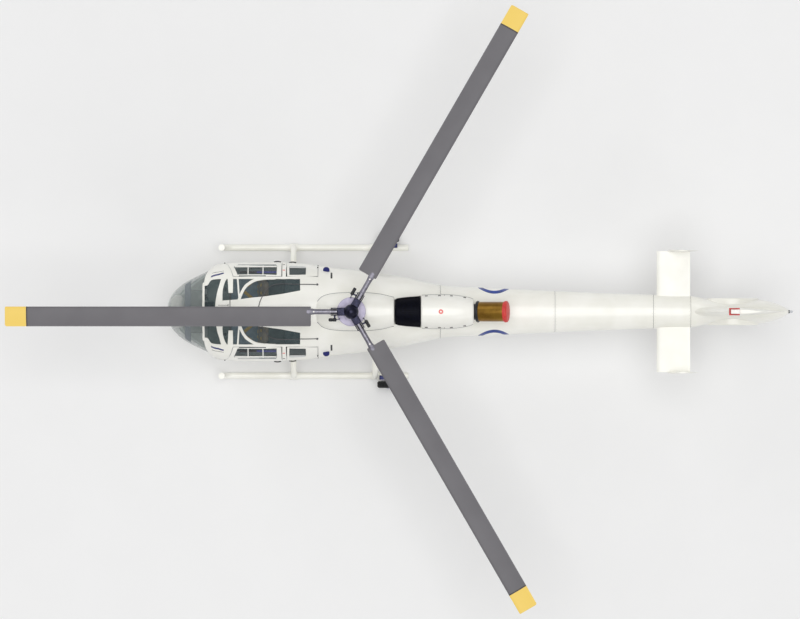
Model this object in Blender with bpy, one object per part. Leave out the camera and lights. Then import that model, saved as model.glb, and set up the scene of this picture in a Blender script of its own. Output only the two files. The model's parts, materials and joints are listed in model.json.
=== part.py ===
"""A light three-bladed helicopter with a shrouded tail rotor, parked on its skids.

Lengths are in metres, with +Z up, the nose towards -X and the starboard side towards +Y. Stations
along X are measured from the rotor mast while a piece is shaped; the airframe empty then carries
everything so that the origin is on the ground, midway along the overall length.
"""

from math import acos, cos, pi, radians, sin, sqrt

import bmesh
import bpy
from mathutils import Matrix, Vector

# Overall
ROTOR_RADIUS = 5.25
NOSE_X = -2.825
TAIL_LIGHT_X = 6.73
MAST_X = (ROTOR_RADIUS - TAIL_LIGHT_X) / 2
TOUCH = 0.0006
CUT_GAP = 0.0008
DOOR_GAP = 0.007

# Hull curves, each as (station, value). They are read against the square root of the distance
# from the nose, which keeps the nose round.
TOP_LINE = (
    (NOSE_X, 1.05), (-2.75, 1.33), (-2.60, 1.55), (-2.40, 1.72), (-2.10, 1.87), (-1.70, 1.975),
    (-1.20, 2.035), (-0.60, 2.045), (0.0, 2.00), (0.7, 1.90), (1.4, 1.80), (2.2, 1.735),
    (3.5, 1.675), (5.17, 1.60),
)
BELLY_LINE = (
    (NOSE_X, 1.05), (-2.75, 0.87), (-2.60, 0.76), (-2.40, 0.66), (-2.10, 0.57), (-1.70, 0.50),
    (-1.20, 0.475), (0.1, 0.475), (0.6, 0.53), (1.1, 0.70), (1.7, 0.93), (2.4, 1.06),
    (3.5, 1.10), (5.17, 1.13),
)
HALF_WIDTH = (
    (NOSE_X, 0.0), (-2.747, 0.265), (-2.626, 0.395), (-2.444, 0.513), (-2.20, 0.628),
    (-2.05, 0.722), (-1.93, 0.737), (-1.656, 0.752), (-1.20, 0.755), (-0.75, 0.735),
    (-0.30, 0.670), (0.30, 0.605), (0.80, 0.525), (1.15, 0.445), (1.50, 0.387), (1.90, 0.369),
    (2.84, 0.326), (3.81, 0.284), (5.17, 0.240),
)
WAIST_LINE = (
    (NOSE_X, 1.05), (-2.3, 1.03), (-1.2, 1.02), (0.2, 1.06), (1.2, 1.24), (2.4, 1.39),
    (5.17, 1.365),
)
ROUNDNESS_ABOVE = ((NOSE_X, 2.1), (-2.2, 2.25), (-1.2, 2.3), (0.4, 2.3), (1.6, 2.15), (5.17, 2.1))
ROUNDNESS_BELOW = ((NOSE_X, 2.1), (-2.2, 2.5), (-1.2, 2.8), (0.4, 2.7), (1.6, 2.15), (5.17, 2.1))
RING_POINTS = 24
FLAT_RINGS_FROM = -1.3

# Cabin
WALL = 0.030
GLASS_DEPTH = 0.010
GLASS = 0.006
GLASS_GAP = 0.003
STRIP = 0.009
BULKHEAD_X = -0.50
BULKHEAD_GAP = 0.0004
REAR_ROOF_X = -0.20
FLOOR_Z = 0.700
SILL_Z = 0.715
DOOR_TOP_Y = 0.530
WINDOW_TOP_Y = 0.558
DOOR_CORNER = 0.05
FRONT_HINGE = (-1.934, 0.755, 0.95)
REAR_HINGE = (-0.513, 0.722, 0.95)

# Rear structure
BOOM_START = 1.35
BOOM_END = 5.17
BOOM_WALL = 0.016
DUCT_X = 5.81
DUCT_Z = 1.315
DUCT_RADIUS = 0.358
DUCT_LIP_RADIUS = 0.400
DUCT_HALF_WIDTH = 0.207

# Main rotor
HUB_Z = 2.600
HUB_RADIUS = 0.113
BLADE_ROOT = 0.61
BLADE_CHORD = 0.300
BLADE_THICKNESS = 0.036
BLADE_DROOP = 0.10
BLADE_INCIDENCE = radians(2.5)
FORK_REACH = 0.31
SWASHPLATE_Z = 2.42
SWASHPLATE_RADIUS = 0.22
BLADE_ANGLES = (180, 60, -60)

# Tail rotor
FAN_RADIUS = 0.3475
FAN_HUB_RADIUS = 0.105
FAN_BLADES = 13

# Landing gear
SKID_Y = 0.983
SKID_RADIUS = 0.048
SKID_SIDES = 14
SKID_Z = SKID_RADIUS * cos(pi / SKID_SIDES)
SKID_TIP_X = -1.994
SKID_END_X = 0.868
CROSS_TUBE_X = (-0.889, 0.359)
CROSS_TUBE_RADIUS = 0.044
WHEEL_X = 0.56
WHEEL_RADIUS = 0.172
WHEEL_Z = 0.215
TYRE_Y = (1.064, 1.170)
RIM_RADIUS = 0.098

# Colours
PAINT_WHITE = (0.92, 0.91, 0.85)
BLADE_GREY = (0.17, 0.165, 0.175)
GUNMETAL = (0.045, 0.040, 0.075)
BLACK = (0.012, 0.012, 0.014)
GLASS_TINT = (0.42, 0.47, 0.47)
FLOOR_GREEN = (0.075, 0.095, 0.090)
SEAT_BROWN = (0.13, 0.095, 0.065)
SEAT_DARK = (0.06, 0.085, 0.095)
BRONZE = (0.24, 0.15, 0.015)
RED = (0.75, 0.03, 0.03)
CLAMP_BLUE = (0.03, 0.03, 0.16)
STEEL = (0.45, 0.44, 0.50)


def clear_scene():
    for item in list(bpy.data.objects):
        bpy.data.objects.remove(item)


def smooth_curve(points):
    """A function through the points, as cubics that never overshoot them."""
    xs = [x for x, _ in points]
    ys = [y for _, y in points]
    steps = [b - a for a, b in zip(xs, xs[1:])]
    slopes = [(b - a) / h for a, b, h in zip(ys, ys[1:], steps)]
    tangents = [slopes[0]]
    for before, after, h0, h1 in zip(slopes, slopes[1:], steps, steps[1:]):
        if before * after <= 0:
            tangents.append(0.0)
            continue
        w0 = 2 * h1 + h0
        w1 = h1 + 2 * h0
        tangents.append((w0 + w1) / (w0 / before + w1 / after))
    tangents.append(slopes[-1])

    def value(x):
        x = min(max(x, xs[0]), xs[-1])
        i = 0
        while i < len(steps) - 1 and x > xs[i + 1]:
            i += 1
        h = steps[i]
        t = (x - xs[i]) / h
        rise = t * t * (3 - 2 * t)
        return (
            ys[i] * (1 - rise)
            + ys[i + 1] * rise
            + h * tangents[i] * t * (1 - t) ** 2
            - h * tangents[i + 1] * t * t * (1 - t)
        )

    return value


def from_nose(x):
    return sqrt(max(x - NOSE_X, 0.0))


def hull_curve(points):
    line = smooth_curve([(from_nose(x), value) for x, value in points])
    return lambda x: line(from_nose(x))


hull_top = hull_curve(TOP_LINE)
hull_bottom = hull_curve(BELLY_LINE)
hull_half_width = hull_curve(HALF_WIDTH)
hull_waist = hull_curve(WAIST_LINE)
roundness_above = hull_curve(ROUNDNESS_ABOVE)
roundness_below = hull_curve(ROUNDNESS_BELOW)


def superellipse(angle, power):
    c, s = cos(angle), sin(angle)
    y = abs(c) ** (2 / power) * (1 if c >= 0 else -1)
    z = abs(s) ** (2 / power) * (1 if s >= 0 else -1)
    return y, z


def hull_skin(x, angle):
    """A point on the outer skin. Angle 0 is the starboard waist and a quarter turn is the top."""
    above = sin(angle) >= 0
    y, z = superellipse(angle, roundness_above(x) if above else roundness_below(x))
    reach = hull_top(x) - hull_waist(x) if above else hull_waist(x) - hull_bottom(x)
    return Vector((x, y * hull_half_width(x), hull_waist(x) + z * reach))


def hull_point(x, angle, inset):
    """The skin moved straight inwards by inset, or outwards where inset is below zero."""
    point = hull_skin(x, angle)
    if inset == 0:
        return point
    small = 0.004
    along = hull_skin(x + small, angle) - hull_skin(max(x - small, NOSE_X + 1e-5), angle)
    around = hull_skin(x, angle + 0.02) - hull_skin(x, angle - 0.02)
    outward = around.cross(along).normalized()
    moved = point - outward * inset
    if x > FLAT_RINGS_FROM:
        moved.x = x
    return moved


def spaced(start, end, count):
    return [start + (end - start) * i / (count - 1) for i in range(count)]


def hull_stations(start, end):
    """The shared stations between two places, so that neighbours have the same facets."""
    return [start] + [x for x in HULL_STATIONS if start < x < end] + [end]


HULL_STATIONS = [NOSE_X + q * q for q in spaced(0, from_nose(BULKHEAD_X), 17)]
HULL_STATIONS += [-0.2, 0.1, 0.4, 0.7, 1.0, BOOM_START, 1.8, 2.5, 3.4, 4.4, BOOM_END]


def hull_rings(stations, inset):
    turns = [2 * pi * i / RING_POINTS for i in range(RING_POINTS)]
    return [[hull_point(x, turn, inset) for turn in turns] for x in stations]


def add_loft(bm, rings, start="cap", end="cap"):
    """Joins closed rings of points. An end is a cap, left open, or a point where it is a vector.
    Every face is a triangle, so that an inset copy has the same folds."""
    rows = [[bm.verts.new(p) for p in ring] for ring in rings]
    for row, following in zip(rows, rows[1:]):
        for i in range(len(row)):
            j = (i + 1) % len(row)
            bm.faces.new((row[i], row[j], following[j]))
            bm.faces.new((row[i], following[j], following[i]))
    for row, finish in ((rows[0], start), (rows[-1], end)):
        if isinstance(finish, Vector):
            tip = bm.verts.new(finish)
            for i in range(len(row)):
                bm.faces.new((row[i], row[(i + 1) % len(row)], tip))
        elif finish == "cap":
            bm.faces.new(row)
    return rows


def bridge_ends(bm, outer, inner):
    for i in range(len(outer)):
        j = (i + 1) % len(outer)
        bm.faces.new((outer[i], outer[j], inner[j], inner[i]))


def make_object(name, bm):
    bmesh.ops.recalc_face_normals(bm, faces=bm.faces[:])
    mesh = bpy.data.meshes.new(name)
    bm.to_mesh(mesh)
    bm.free()
    item = bpy.data.objects.new(name, mesh)
    bpy.context.scene.collection.objects.link(item)
    return item


def combine(target, other, operation):
    """A Boolean between two objects, kept in the first one."""
    modifier = target.modifiers.new(operation, "BOOLEAN")
    modifier.operation = operation
    modifier.solver = "EXACT"
    modifier.object = other
    bpy.context.view_layer.update()
    graph = bpy.context.evaluated_depsgraph_get()
    result = bpy.data.meshes.new_from_object(target.evaluated_get(graph))
    target.modifiers.clear()
    target.data = result
    bpy.data.objects.remove(other)
    return target


def join(target, *others):
    for other in others:
        combine(target, other, "UNION")
    return target


def cut(target, *cutters):
    for cutter in cutters:
        combine(target, cutter, "DIFFERENCE")
    return target


def keep_inside(target, volume):
    return combine(target, volume, "INTERSECT")


def rounded(corners, radius, steps=3):
    """The outline with each corner turned into an arc."""
    outline = []
    count = len(corners)
    for i in range(count):
        corner = Vector(corners[i])
        before = Vector(corners[i - 1]) - corner
        after = Vector(corners[(i + 1) % count]) - corner
        half = acos(max(-1.0, min(1.0, before.normalized().dot(after.normalized())))) / 2
        wanted = radius / max(abs(sin(half) / cos(half)), 1e-6)
        run = min(wanted, before.length / 2.05, after.length / 2.05)
        start = corner + before.normalized() * run
        finish = corner + after.normalized() * run
        for k in range(steps + 1):
            t = k / steps
            outline.append(start * (1 - t) ** 2 + corner * 2 * t * (1 - t) + finish * t * t)
    return [tuple(p) for p in outline]


def shrunk(outline, margin):
    """The outline moved inwards by a margin on every side."""
    area = sum(a[0] * b[1] - b[0] * a[1] for a, b in zip(outline, outline[1:] + outline[:1]))
    turn = 1 if area > 0 else -1
    moved = []
    count = len(outline)
    for i in range(count):
        here = Vector(outline[i])
        into = (here - Vector(outline[i - 1])).normalized()
        out = (Vector(outline[(i + 1) % count]) - here).normalized()
        side = Vector((-into.y, into.x)) + Vector((-out.y, out.x))
        side = side.normalized() * turn
        spread = max(side.dot(Vector((-into.y, into.x)) * turn), 0.4)
        moved.append(tuple(here + side * margin / spread))
    return moved


def side_prism(name, outline, low_y, high_y):
    """An outline in X and Z, run along Y."""
    bm = bmesh.new()
    add_loft(bm, [[Vector((x, y, z)) for x, z in outline] for y in (low_y, high_y)])
    return make_object(name, bm)


def plan_prism(name, outline, low_z, high_z):
    """An outline in X and Y, run up Z."""
    bm = bmesh.new()
    add_loft(bm, [[Vector((x, y, z)) for x, y in outline] for z in (low_z, high_z)])
    return make_object(name, bm)


def block(name, low, high, bevel=0.0):
    bm = bmesh.new()
    centre = (Vector(low) + Vector(high)) / 2
    size = Vector(high) - Vector(low)
    place = Matrix.Translation(centre) @ Matrix.Diagonal((*size, 1))
    bmesh.ops.create_cube(bm, size=1, matrix=place)
    if bevel:
        bmesh.ops.bevel(bm, geom=bm.edges[:], offset=bevel, segments=1, affect="EDGES")
    return make_object(name, bm)


def turned(name, profile, axis="Z", sides=32, at=(0, 0, 0)):
    """A closed profile of (radius, height), turned round an axis through a point. The profile ends
    on the axis, or else it closes on itself as a ring."""
    frames = {
        "Z": Matrix.Identity(3),
        "Y": Matrix(((1, 0, 0), (0, 0, 1), (0, -1, 0))),
        "X": Matrix(((0, 0, 1), (0, 1, 0), (-1, 0, 0))),
    }
    bm = bmesh.new()
    rows = []
    for radius, height in profile:
        if radius < 1e-6:
            rows.append([bm.verts.new(Vector(at) + frames[axis] @ Vector((0, 0, height)))])
            continue
        ring = []
        for i in range(sides):
            turn = 2 * pi * i / sides
            local = Vector((radius * cos(turn), radius * sin(turn), height))
            ring.append(bm.verts.new(Vector(at) + frames[axis] @ local))
        rows.append(ring)
    pairs = list(zip(rows, rows[1:]))
    if len(rows[0]) > 1:
        pairs.append((rows[-1], rows[0]))
    for a, b in pairs:
        for i in range(sides):
            j = (i + 1) % sides
            loop = [a[i % len(a)], a[j % len(a)], b[j % len(b)], b[i % len(b)]]
            corners = list(dict.fromkeys(loop))
            if len(corners) > 2:
                bm.faces.new(corners)
    return make_object(name, bm)


def disc_profile(radius, low, high, edge=0.0):
    if not edge:
        return [(0, low), (radius, low), (radius, high), (0, high)]
    return [(0, low), (radius - edge, low), (radius, low + edge), (radius, high - edge),
            (radius - edge, high), (0, high)]


def rod(name, start, end, radius, sides=12, end_radius=None):
    """A straight round bar between two points."""
    start, end = Vector(start), Vector(end)
    along = end - start
    bm = bmesh.new()
    turn = along.to_track_quat("Z", "Y").to_matrix().to_4x4()
    place = Matrix.Translation((start + end) / 2) @ turn
    bmesh.ops.create_cone(
        bm, cap_ends=True, segments=sides, radius1=radius,
        radius2=radius if end_radius is None else end_radius, depth=along.length, matrix=place,
    )
    return make_object(name, bm)


def arc_points(centre, radius, start, end, steps):
    """Points on an arc in a plane, as (first, second) coordinates."""
    return [
        (centre[0] + radius * cos(start + (end - start) * i / steps),
         centre[1] + radius * sin(start + (end - start) * i / steps))
        for i in range(steps + 1)
    ]


def bent_tube(name, path, radius, sides=16, phase=0.0):
    """A round tube along a path of points that lies in one plane. A phase of half a side turns a
    flat towards the plane's edge in place of a corner."""
    path = [Vector(p) for p in path]
    for a, b, c in zip(path, path[1:], path[2:]):
        flat = (b - a).cross(c - b)
        if flat.length > 1e-9:
            break
    flat.normalize()
    rings = []
    for i, point in enumerate(path):
        before = (point - path[i - 1]).normalized() if i else (path[1] - point).normalized()
        after = (path[i + 1] - point).normalized() if i + 1 < len(path) else before
        along = (before + after).normalized()
        stretch = 1 / max(along.dot(before), 0.5)
        across = flat.cross(along).normalized()
        rings.append([
            point
            + across * radius * stretch * cos(2 * pi * (k + phase) / sides)
            + flat * radius * sin(2 * pi * (k + phase) / sides)
            for k in range(sides)
        ])
    bm = bmesh.new()
    add_loft(bm, rings)
    return make_object(name, bm)


def mirrored(points, side):
    return [(x, y * side) for x, y in points]


def colour(item, name, rgb, roughness=0.45, metallic=0.0, alpha=1.0):
    material = bpy.data.materials.get(name) or bpy.data.materials.new(name)
    material.use_nodes = True
    shader = material.node_tree.nodes["Principled BSDF"]
    shader.inputs["Base Color"].default_value = (*rgb, 1)
    shader.inputs["Roughness"].default_value = roughness
    shader.inputs["Metallic"].default_value = metallic
    shader.inputs["Alpha"].default_value = alpha
    item.data.materials.clear()
    item.data.materials.append(material)
    return item


def white(item):
    return colour(item, "white gloss paint", PAINT_WHITE, 0.3)


def place(item, parent, sharp=35):
    """Hangs an object on an empty, with its mesh measured from that empty."""
    station = parent.location if parent.parent else Vector()
    item.data.transform(Matrix.Translation(-station))
    item.parent = parent
    item.data.shade_smooth()
    item.data.set_sharp_from_angle(angle=radians(sharp))
    return item


def axis_empty(name, location, parent=None):
    empty = bpy.data.objects.new(name, None)
    bpy.context.scene.collection.objects.link(empty)
    empty.location = location
    empty.parent = parent
    return empty


# Hull pieces

def hull_solid(name, start, end, inset=0.0):
    bm = bmesh.new()
    stations = hull_stations(start, end)
    nose = "cap"
    if start <= NOSE_X:
        stations = stations[1:]
        nose = Vector((NOSE_X + inset, 0, hull_waist(NOSE_X)))
    add_loft(bm, hull_rings(stations, inset), start=nose)
    return make_object(name, bm)


def hull_shell(name, start, end, outer, inner):
    """A closed wall between two insets of the skin."""
    bm = bmesh.new()
    stations = hull_stations(start, end)
    at_nose = start <= NOSE_X
    if at_nose:
        stations = stations[1:]
    rows = []
    for inset in (outer, inner):
        nose = Vector((NOSE_X + inset, 0, hull_waist(NOSE_X))) if at_nose else "open"
        rows.append(add_loft(bm, hull_rings(stations, inset), start=nose, end="open"))
    bridge_ends(bm, rows[0][-1], rows[1][-1])
    if not at_nose:
        bridge_ends(bm, rows[0][0], rows[1][0])
    return make_object(name, bm)


# The glass bubble ends on this line, seen from the side: along the belt to the door, then up and
# forward along the cheek and over the nose.
BUBBLE_BELT = (
    (-2.95, 0.895), (-2.72, 0.85), (-2.50, 0.815), (-2.32, 0.815), (-2.19, 0.84), (-2.09, 0.90),
    (-2.025, 0.975), (-1.985, 1.06),
)
BUBBLE_EDGE = (
    *BUBBLE_BELT, (-2.03, 1.110), (-2.10, 1.150), (-2.155, 1.205), (-2.190, 1.30), (-2.218, 1.42),
    (-2.238, 1.568), (-2.246, 1.66), (-2.246, 2.10), (-2.95, 2.10),
)
CHEEK_TOP_Z = BUBBLE_BELT[-1][1]
FRONT_DOOR = ((-1.934, 0.715), (-1.934, 1.10), (-1.845, 1.50), (-1.775, 1.82), (-1.775, 2.10),
              (-1.068, 2.10), (-1.064, 1.50), (-1.058, 0.715))
REAR_DOOR = ((-0.992, 0.715), (-0.982, 1.50), (-0.972, 2.10), (-0.513, 2.10), (-0.513, 0.80),
             (-0.598, 0.715))
FRONT_DOORWAY = (*FRONT_DOOR[:5], (-1.052, 2.10), (-1.061, 1.50), (-1.0545, 0.715))
REAR_DOORWAY = ((-0.996, 0.715), (-0.985, 1.50), (-0.994, 2.10), *REAR_DOOR[3:])
FRONT_WINDOW = ((-1.805, 1.42), (-1.735, 1.70), (-1.700, 2.10), (-1.140, 2.10), (-1.132, 1.42))
REAR_WINDOW = ((-0.948, 1.45), (-0.938, 2.10), (-0.700, 2.10), (-0.690, 1.45))

# Seen from above: the openings over the crew, on the starboard side, and the frames laid over them.
CENTRE_STRIP = 0.024
UPPER_SCREEN = (
    (-2.260, CENTRE_STRIP), (-2.260, 0.396), (-2.222, 0.392), (-2.195, 0.396), (-2.176, 0.410),
    (-2.163, 0.434), (-2.149, 0.459), (-2.129, 0.476), (-2.098, 0.486), (-1.980, 0.492),
    (-1.998, 0.429), (-2.015, 0.375), (-2.030, 0.321), (-2.044, 0.264), (-2.055, 0.206),
    (-2.063, 0.144), (-2.068, 0.079), (-2.070, CENTRE_STRIP),
)
ROOF_GLAZING = (
    (-1.958, 0.168), (-1.9585, 0.258), (-1.953, 0.335), (-1.938, 0.405), (-1.918, 0.455),
    (-1.894, 0.495), (-0.780, 0.492),
    (-0.777, 0.318), (-1.05, 0.268), (-1.35, 0.228), (-1.52, 0.212), (-1.70, 0.186),
)
ROOF_ARCH = (
    (-1.712, 0.165), (-1.690, 0.228), (-1.664, 0.290), (-1.636, 0.343), (-1.603, 0.387),
    (-1.565, 0.421), (-1.525, 0.447), (-1.483, 0.468), (-1.440, 0.483), (-1.330, 0.502),
    (-1.150, 0.508),
)
ROOF_ARCH_HALF_WIDTH = 0.021
ROOF_BAR = ((-1.703, 0.05), (-1.682, 0.05), (-1.722, 0.60), (-1.749, 0.60))
ROOF_TONGUE = ((-1.865, 0.283), (-1.800, 0.283), (-1.798, 0.60), (-1.890, 0.60))
NOSE_BAR_LOW = 1.60
NOSE_BAR = ((-2.264, 0), (-2.232, 0), (-2.232, 1.3), (-2.264, 1.3))


def make_tub():
    """The lower hull: solid under the floor, with walls round the feet and a cheek at each side."""
    tub = hull_solid("cabin_tub", NOSE_X, REAR_ROOF_X)
    door_front = FRONT_DOOR[0][0] - DOOR_GAP
    outline = [(x, z - TOUCH) for x, z in BUBBLE_BELT] + [
        (door_front, CHEEK_TOP_Z - TOUCH), (door_front, SILL_Z - DOOR_GAP),
        (BULKHEAD_X - BULKHEAD_GAP, SILL_Z - DOOR_GAP), (BULKHEAD_X - BULKHEAD_GAP, 0.2), (-2.95, 0.2),
    ]
    keep_inside(tub, side_prism("belt", outline, -1.2, 1.2))
    foot_well = hull_solid("foot well", NOSE_X, 0.1, WALL)
    keep_inside(foot_well, block("over floor", (-3, -1, FLOOR_Z), (0, 1, 2.5)))
    return cut(tub, foot_well)


def make_frame():
    """The cabin's ribs and roof: cheeks, hoop, roof beams and the rear of the roof."""
    frame = hull_shell("cabin_frame", NOSE_X, REAR_ROOF_X, 0.0, WALL)
    door_front = FRONT_DOOR[0][0] + 0.002
    keep = [
        *BUBBLE_BELT, (door_front, CHEEK_TOP_Z), (door_front, SILL_Z),
        (BULKHEAD_X - BULKHEAD_GAP, SILL_Z), (BULKHEAD_X - BULKHEAD_GAP, 2.2), (-2.95, 2.2),
    ]
    keep_inside(frame, side_prism("upper", keep, -1.2, 1.2))
    corner = (BUBBLE_BELT[-1][0] + BULKHEAD_GAP, CHEEK_TOP_Z - BULKHEAD_GAP)
    edge = [(-2.95, 0.5), (corner[0], 0.5), corner, *BUBBLE_EDGE[len(BUBBLE_BELT):]]
    for side in (1, -1):
        bubble = side_prism("bubble", edge, side * CENTRE_STRIP, side * 1.2)
        join(bubble, plan_prism("screen", mirrored(UPPER_SCREEN, side), 1.45, 2.3))
        cut(frame, cut(bubble, outer_strip([NOSE_BAR], side, NOSE_BAR_LOW)))
        glazing = plan_prism("glazing", mirrored(ROOF_GLAZING, side), 1.45, 2.3)
        cut(frame, cut(glazing, outer_strip([arch_outline(), ROOF_BAR, ROOF_TONGUE], side, 1.3)))
        for outline in (FRONT_DOORWAY, REAR_DOORWAY):
            opening = shrunk([*outline], -DOOR_GAP)
            cut(frame, side_prism("doorway", opening, side * DOOR_TOP_Y, side * 1.2))
    return frame


def arch_outline():
    """The outline, seen from above, of the curved frame over the roof glazing."""
    left, right = [], []
    for i, (x, y) in enumerate(ROOF_ARCH):
        near = ROOF_ARCH[max(i - 1, 0)]
        far = ROOF_ARCH[min(i + 1, len(ROOF_ARCH) - 1)]
        along = Vector((far[0] - near[0], far[1] - near[1])).normalized() * ROOF_ARCH_HALF_WIDTH
        left.append((x - along.y, y + along.x))
        right.append((x + along.y, y - along.x))
    return left + right[::-1]


def outer_strip(plans, side, low):
    """What an opening leaves in place along a frame: all but what lies deeper than the strip."""
    strip = join(*[plan_prism("strip", mirrored(plan, side), low, 2.4) for plan in plans])
    return cut(strip, hull_solid("below strip", NOSE_X, REAR_ROOF_X, STRIP))


def make_bubble(name, side):
    """The nose glass, in one piece with the screen over it behind the nose bar."""
    glass = hull_shell(name, NOSE_X, HULL_STATIONS[12], GLASS_DEPTH, GLASS_DEPTH + GLASS)
    inner = side * (CENTRE_STRIP + GLASS_GAP)
    opening = side_prism("bubble", shrunk([*BUBBLE_EDGE], GLASS_GAP), inner, side * 1.2)
    screen = shrunk(mirrored(UPPER_SCREEN, side), GLASS_GAP)
    return keep_inside(glass, join(opening, plan_prism("screen", screen, 1.45, 2.3)))


def make_roof_glass(name, side):
    glass = hull_shell(name, HULL_STATIONS[8], BULKHEAD_X, GLASS_DEPTH, GLASS_DEPTH + GLASS)
    opening = shrunk(mirrored(ROOF_GLAZING, side), GLASS_GAP)
    return keep_inside(glass, plan_prism("glazing", opening, 1.45, 2.3))


def make_door(name, side, outline, window):
    door = hull_shell(name, HULL_STATIONS[8], REAR_ROOF_X, 0.0, WALL)
    sill_play = 0.004
    raised = [(x, z + sill_play) if z < FLOOR_Z + 0.05 else (x, z) for x, z in outline]
    edge = rounded(raised, DOOR_CORNER)
    keep_inside(door, side_prism("door", edge, side * (DOOR_TOP_Y + DOOR_GAP), side * 1.2))
    opening = rounded([*window], DOOR_CORNER)
    return cut(door, side_prism("window", opening, side * WINDOW_TOP_Y, side * 1.2))


def make_door_glass(name, side, window):
    glass = hull_shell(name, HULL_STATIONS[8], REAR_ROOF_X, GLASS_DEPTH, GLASS_DEPTH + GLASS)
    opening = shrunk(rounded([*window], DOOR_CORNER), GLASS_GAP)
    inner = side * (WINDOW_TOP_Y + GLASS_GAP)
    return keep_inside(glass, side_prism("window", opening, inner, side * 1.2))


def make_centre_fuselage():
    return hull_solid("centre_fuselage", BULKHEAD_X, BOOM_START)


def make_tail_boom():
    bm = bmesh.new()
    start = BOOM_START + TOUCH
    outer = add_loft(bm, hull_rings(hull_stations(start, BOOM_END - TOUCH), 0), start="open")
    inner = add_loft(bm, hull_rings(hull_stations(start, BOOM_END - 0.04), BOOM_WALL), start="open")
    bridge_ends(bm, outer[0], inner[0])
    return make_object("tail_boom", bm)


# Fairings on the deck, as (station, half width, top, roundness)
FAIRING_SECTIONS = (
    (-0.53, 0.215, 2.085), (-0.44, 0.268, 2.165), (-0.30, 0.292, 2.245), (-0.10, 0.300, 2.295),
    (0.15, 0.297, 2.305), (0.40, 0.277, 2.295), (0.652, 0.222, 2.270),
)
INTAKE_SECTIONS = ((0.655, 0.190, 2.235), (0.70, 0.208, 2.255), (1.054, 0.245, 2.262))
COWLING_SECTIONS = (
    (1.057, 0.250, 2.270), (1.25, 0.257, 2.278), (1.45, 0.258, 2.270), (1.65, 0.240, 2.245),
    (1.80, 0.210, 2.212), (1.862, 0.188, 2.190),
)
DECK_SINK = 1.70
FAIRING_WALL = 0.015


def arch_ring(x, half_width, top, inset=0.0, low=DECK_SINK, points=13):
    """An arched section that stands on a flat foot below the deck."""
    ring = []
    for i in range(points):
        y, z = superellipse(pi * i / (points - 1), 2.6)
        ring.append(Vector((x, y * (half_width - inset), low + z * (top - inset - low))))
    return ring


def arch_body(name, sections, inset=0.0, low=DECK_SINK, stretch=0.0):
    bm = bmesh.new()
    rings = [arch_ring(x, w, top, inset, low) for x, w, top in sections]
    for vertex in rings[0]:
        vertex.x -= stretch
    for vertex in rings[-1]:
        vertex.x += stretch
    add_loft(bm, rings)
    return make_object(name, bm)


def deck_cutter():
    return hull_solid("deck", HULL_STATIONS[14], 2.5, -CUT_GAP)


def make_mast_fairing():
    fairing = arch_body("mast_fairing", FAIRING_SECTIONS)
    hollow = [(max(min(x, 0.634), -0.49), w, top) for x, w, top in FAIRING_SECTIONS]
    cut(fairing, arch_body("hollow", hollow, FAIRING_WALL, DECK_SINK - 0.1))
    cut(fairing, turned("mast hole", disc_profile(0.115, 2.1, 2.5), sides=28))
    return cut(fairing, deck_cutter())


def make_intake():
    return cut(arch_body("intake_grille", INTAKE_SECTIONS), deck_cutter())


def make_cowling():
    cowling = arch_body("engine_cowling", COWLING_SECTIONS)
    cut(cowling, arch_body("hollow", COWLING_SECTIONS[:-1], FAIRING_WALL, DECK_SINK - 0.1, -0.012))
    cut(cowling, rod("tail pipe hole", (1.7, 0, 2.018), (2.0, 0, 2.018), 0.135, 24))
    return cut(cowling, deck_cutter())


def make_engine():
    return rod("engine_block", (1.10, 0, 2.045), (1.74, 0, 2.045), 0.150, 20)


def make_gearbox():
    """The gearbox under its fairing, with the fixed housing that the mast turns in."""
    gearbox = block("main_gearbox", (-0.16, -0.15, 2.020), (0.16, 0.15, 2.150))
    return join(gearbox, rod("mast housing", (0, 0, 2.13), (0, 0, 2.372), 0.100, 20, 0.075))


EXHAUST_START = Vector((1.902, 0, 2.018))
EXHAUST_TILT = radians(12)
EXHAUST_LENGTH = 0.445
EXHAUST_RADIUS = 0.150
COVER_RADIUS = 0.163


def exhaust_frame():
    turn = Matrix.Rotation(pi / 2 - EXHAUST_TILT, 4, "Y")
    return Matrix.Translation(EXHAUST_START) @ turn


def make_exhaust():
    """A tilted jet pipe with a clamp ring at its front, open at the back."""
    wall = 0.008
    pipe = turned("exhaust_pipe", [
        (0, 0.0), (0.125, 0.0), (0.163, 0.012), (0.163, 0.042), (EXHAUST_RADIUS, 0.044),
        (EXHAUST_RADIUS, EXHAUST_LENGTH), (EXHAUST_RADIUS - wall, EXHAUST_LENGTH),
        (EXHAUST_RADIUS - wall, 0.05), (0, 0.05),
    ], sides=24)
    pipe.data.transform(exhaust_frame())
    return join(pipe, rod("jet pipe", (1.741, 0, 2.018), (1.915, 0, 2.018), 0.120, 24))


def make_exhaust_cover():
    """A blanking cover: a disc with a plug inside the pipe and a rim over its end."""
    rim = EXHAUST_RADIUS + 0.001
    plug = EXHAUST_RADIUS - 0.009
    end = EXHAUST_LENGTH
    cover = turned("exhaust_cover", [
        (0, end - 0.06), (plug, end - 0.06), (plug, end + 0.001), (rim, end + 0.001),
        (rim, end - 0.030), (COVER_RADIUS, end - 0.030), (COVER_RADIUS, end + 0.030),
        (COVER_RADIUS - 0.02, end + 0.048), (0, end + 0.056),
    ], sides=24)
    cover.data.transform(exhaust_frame())
    return cover


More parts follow.
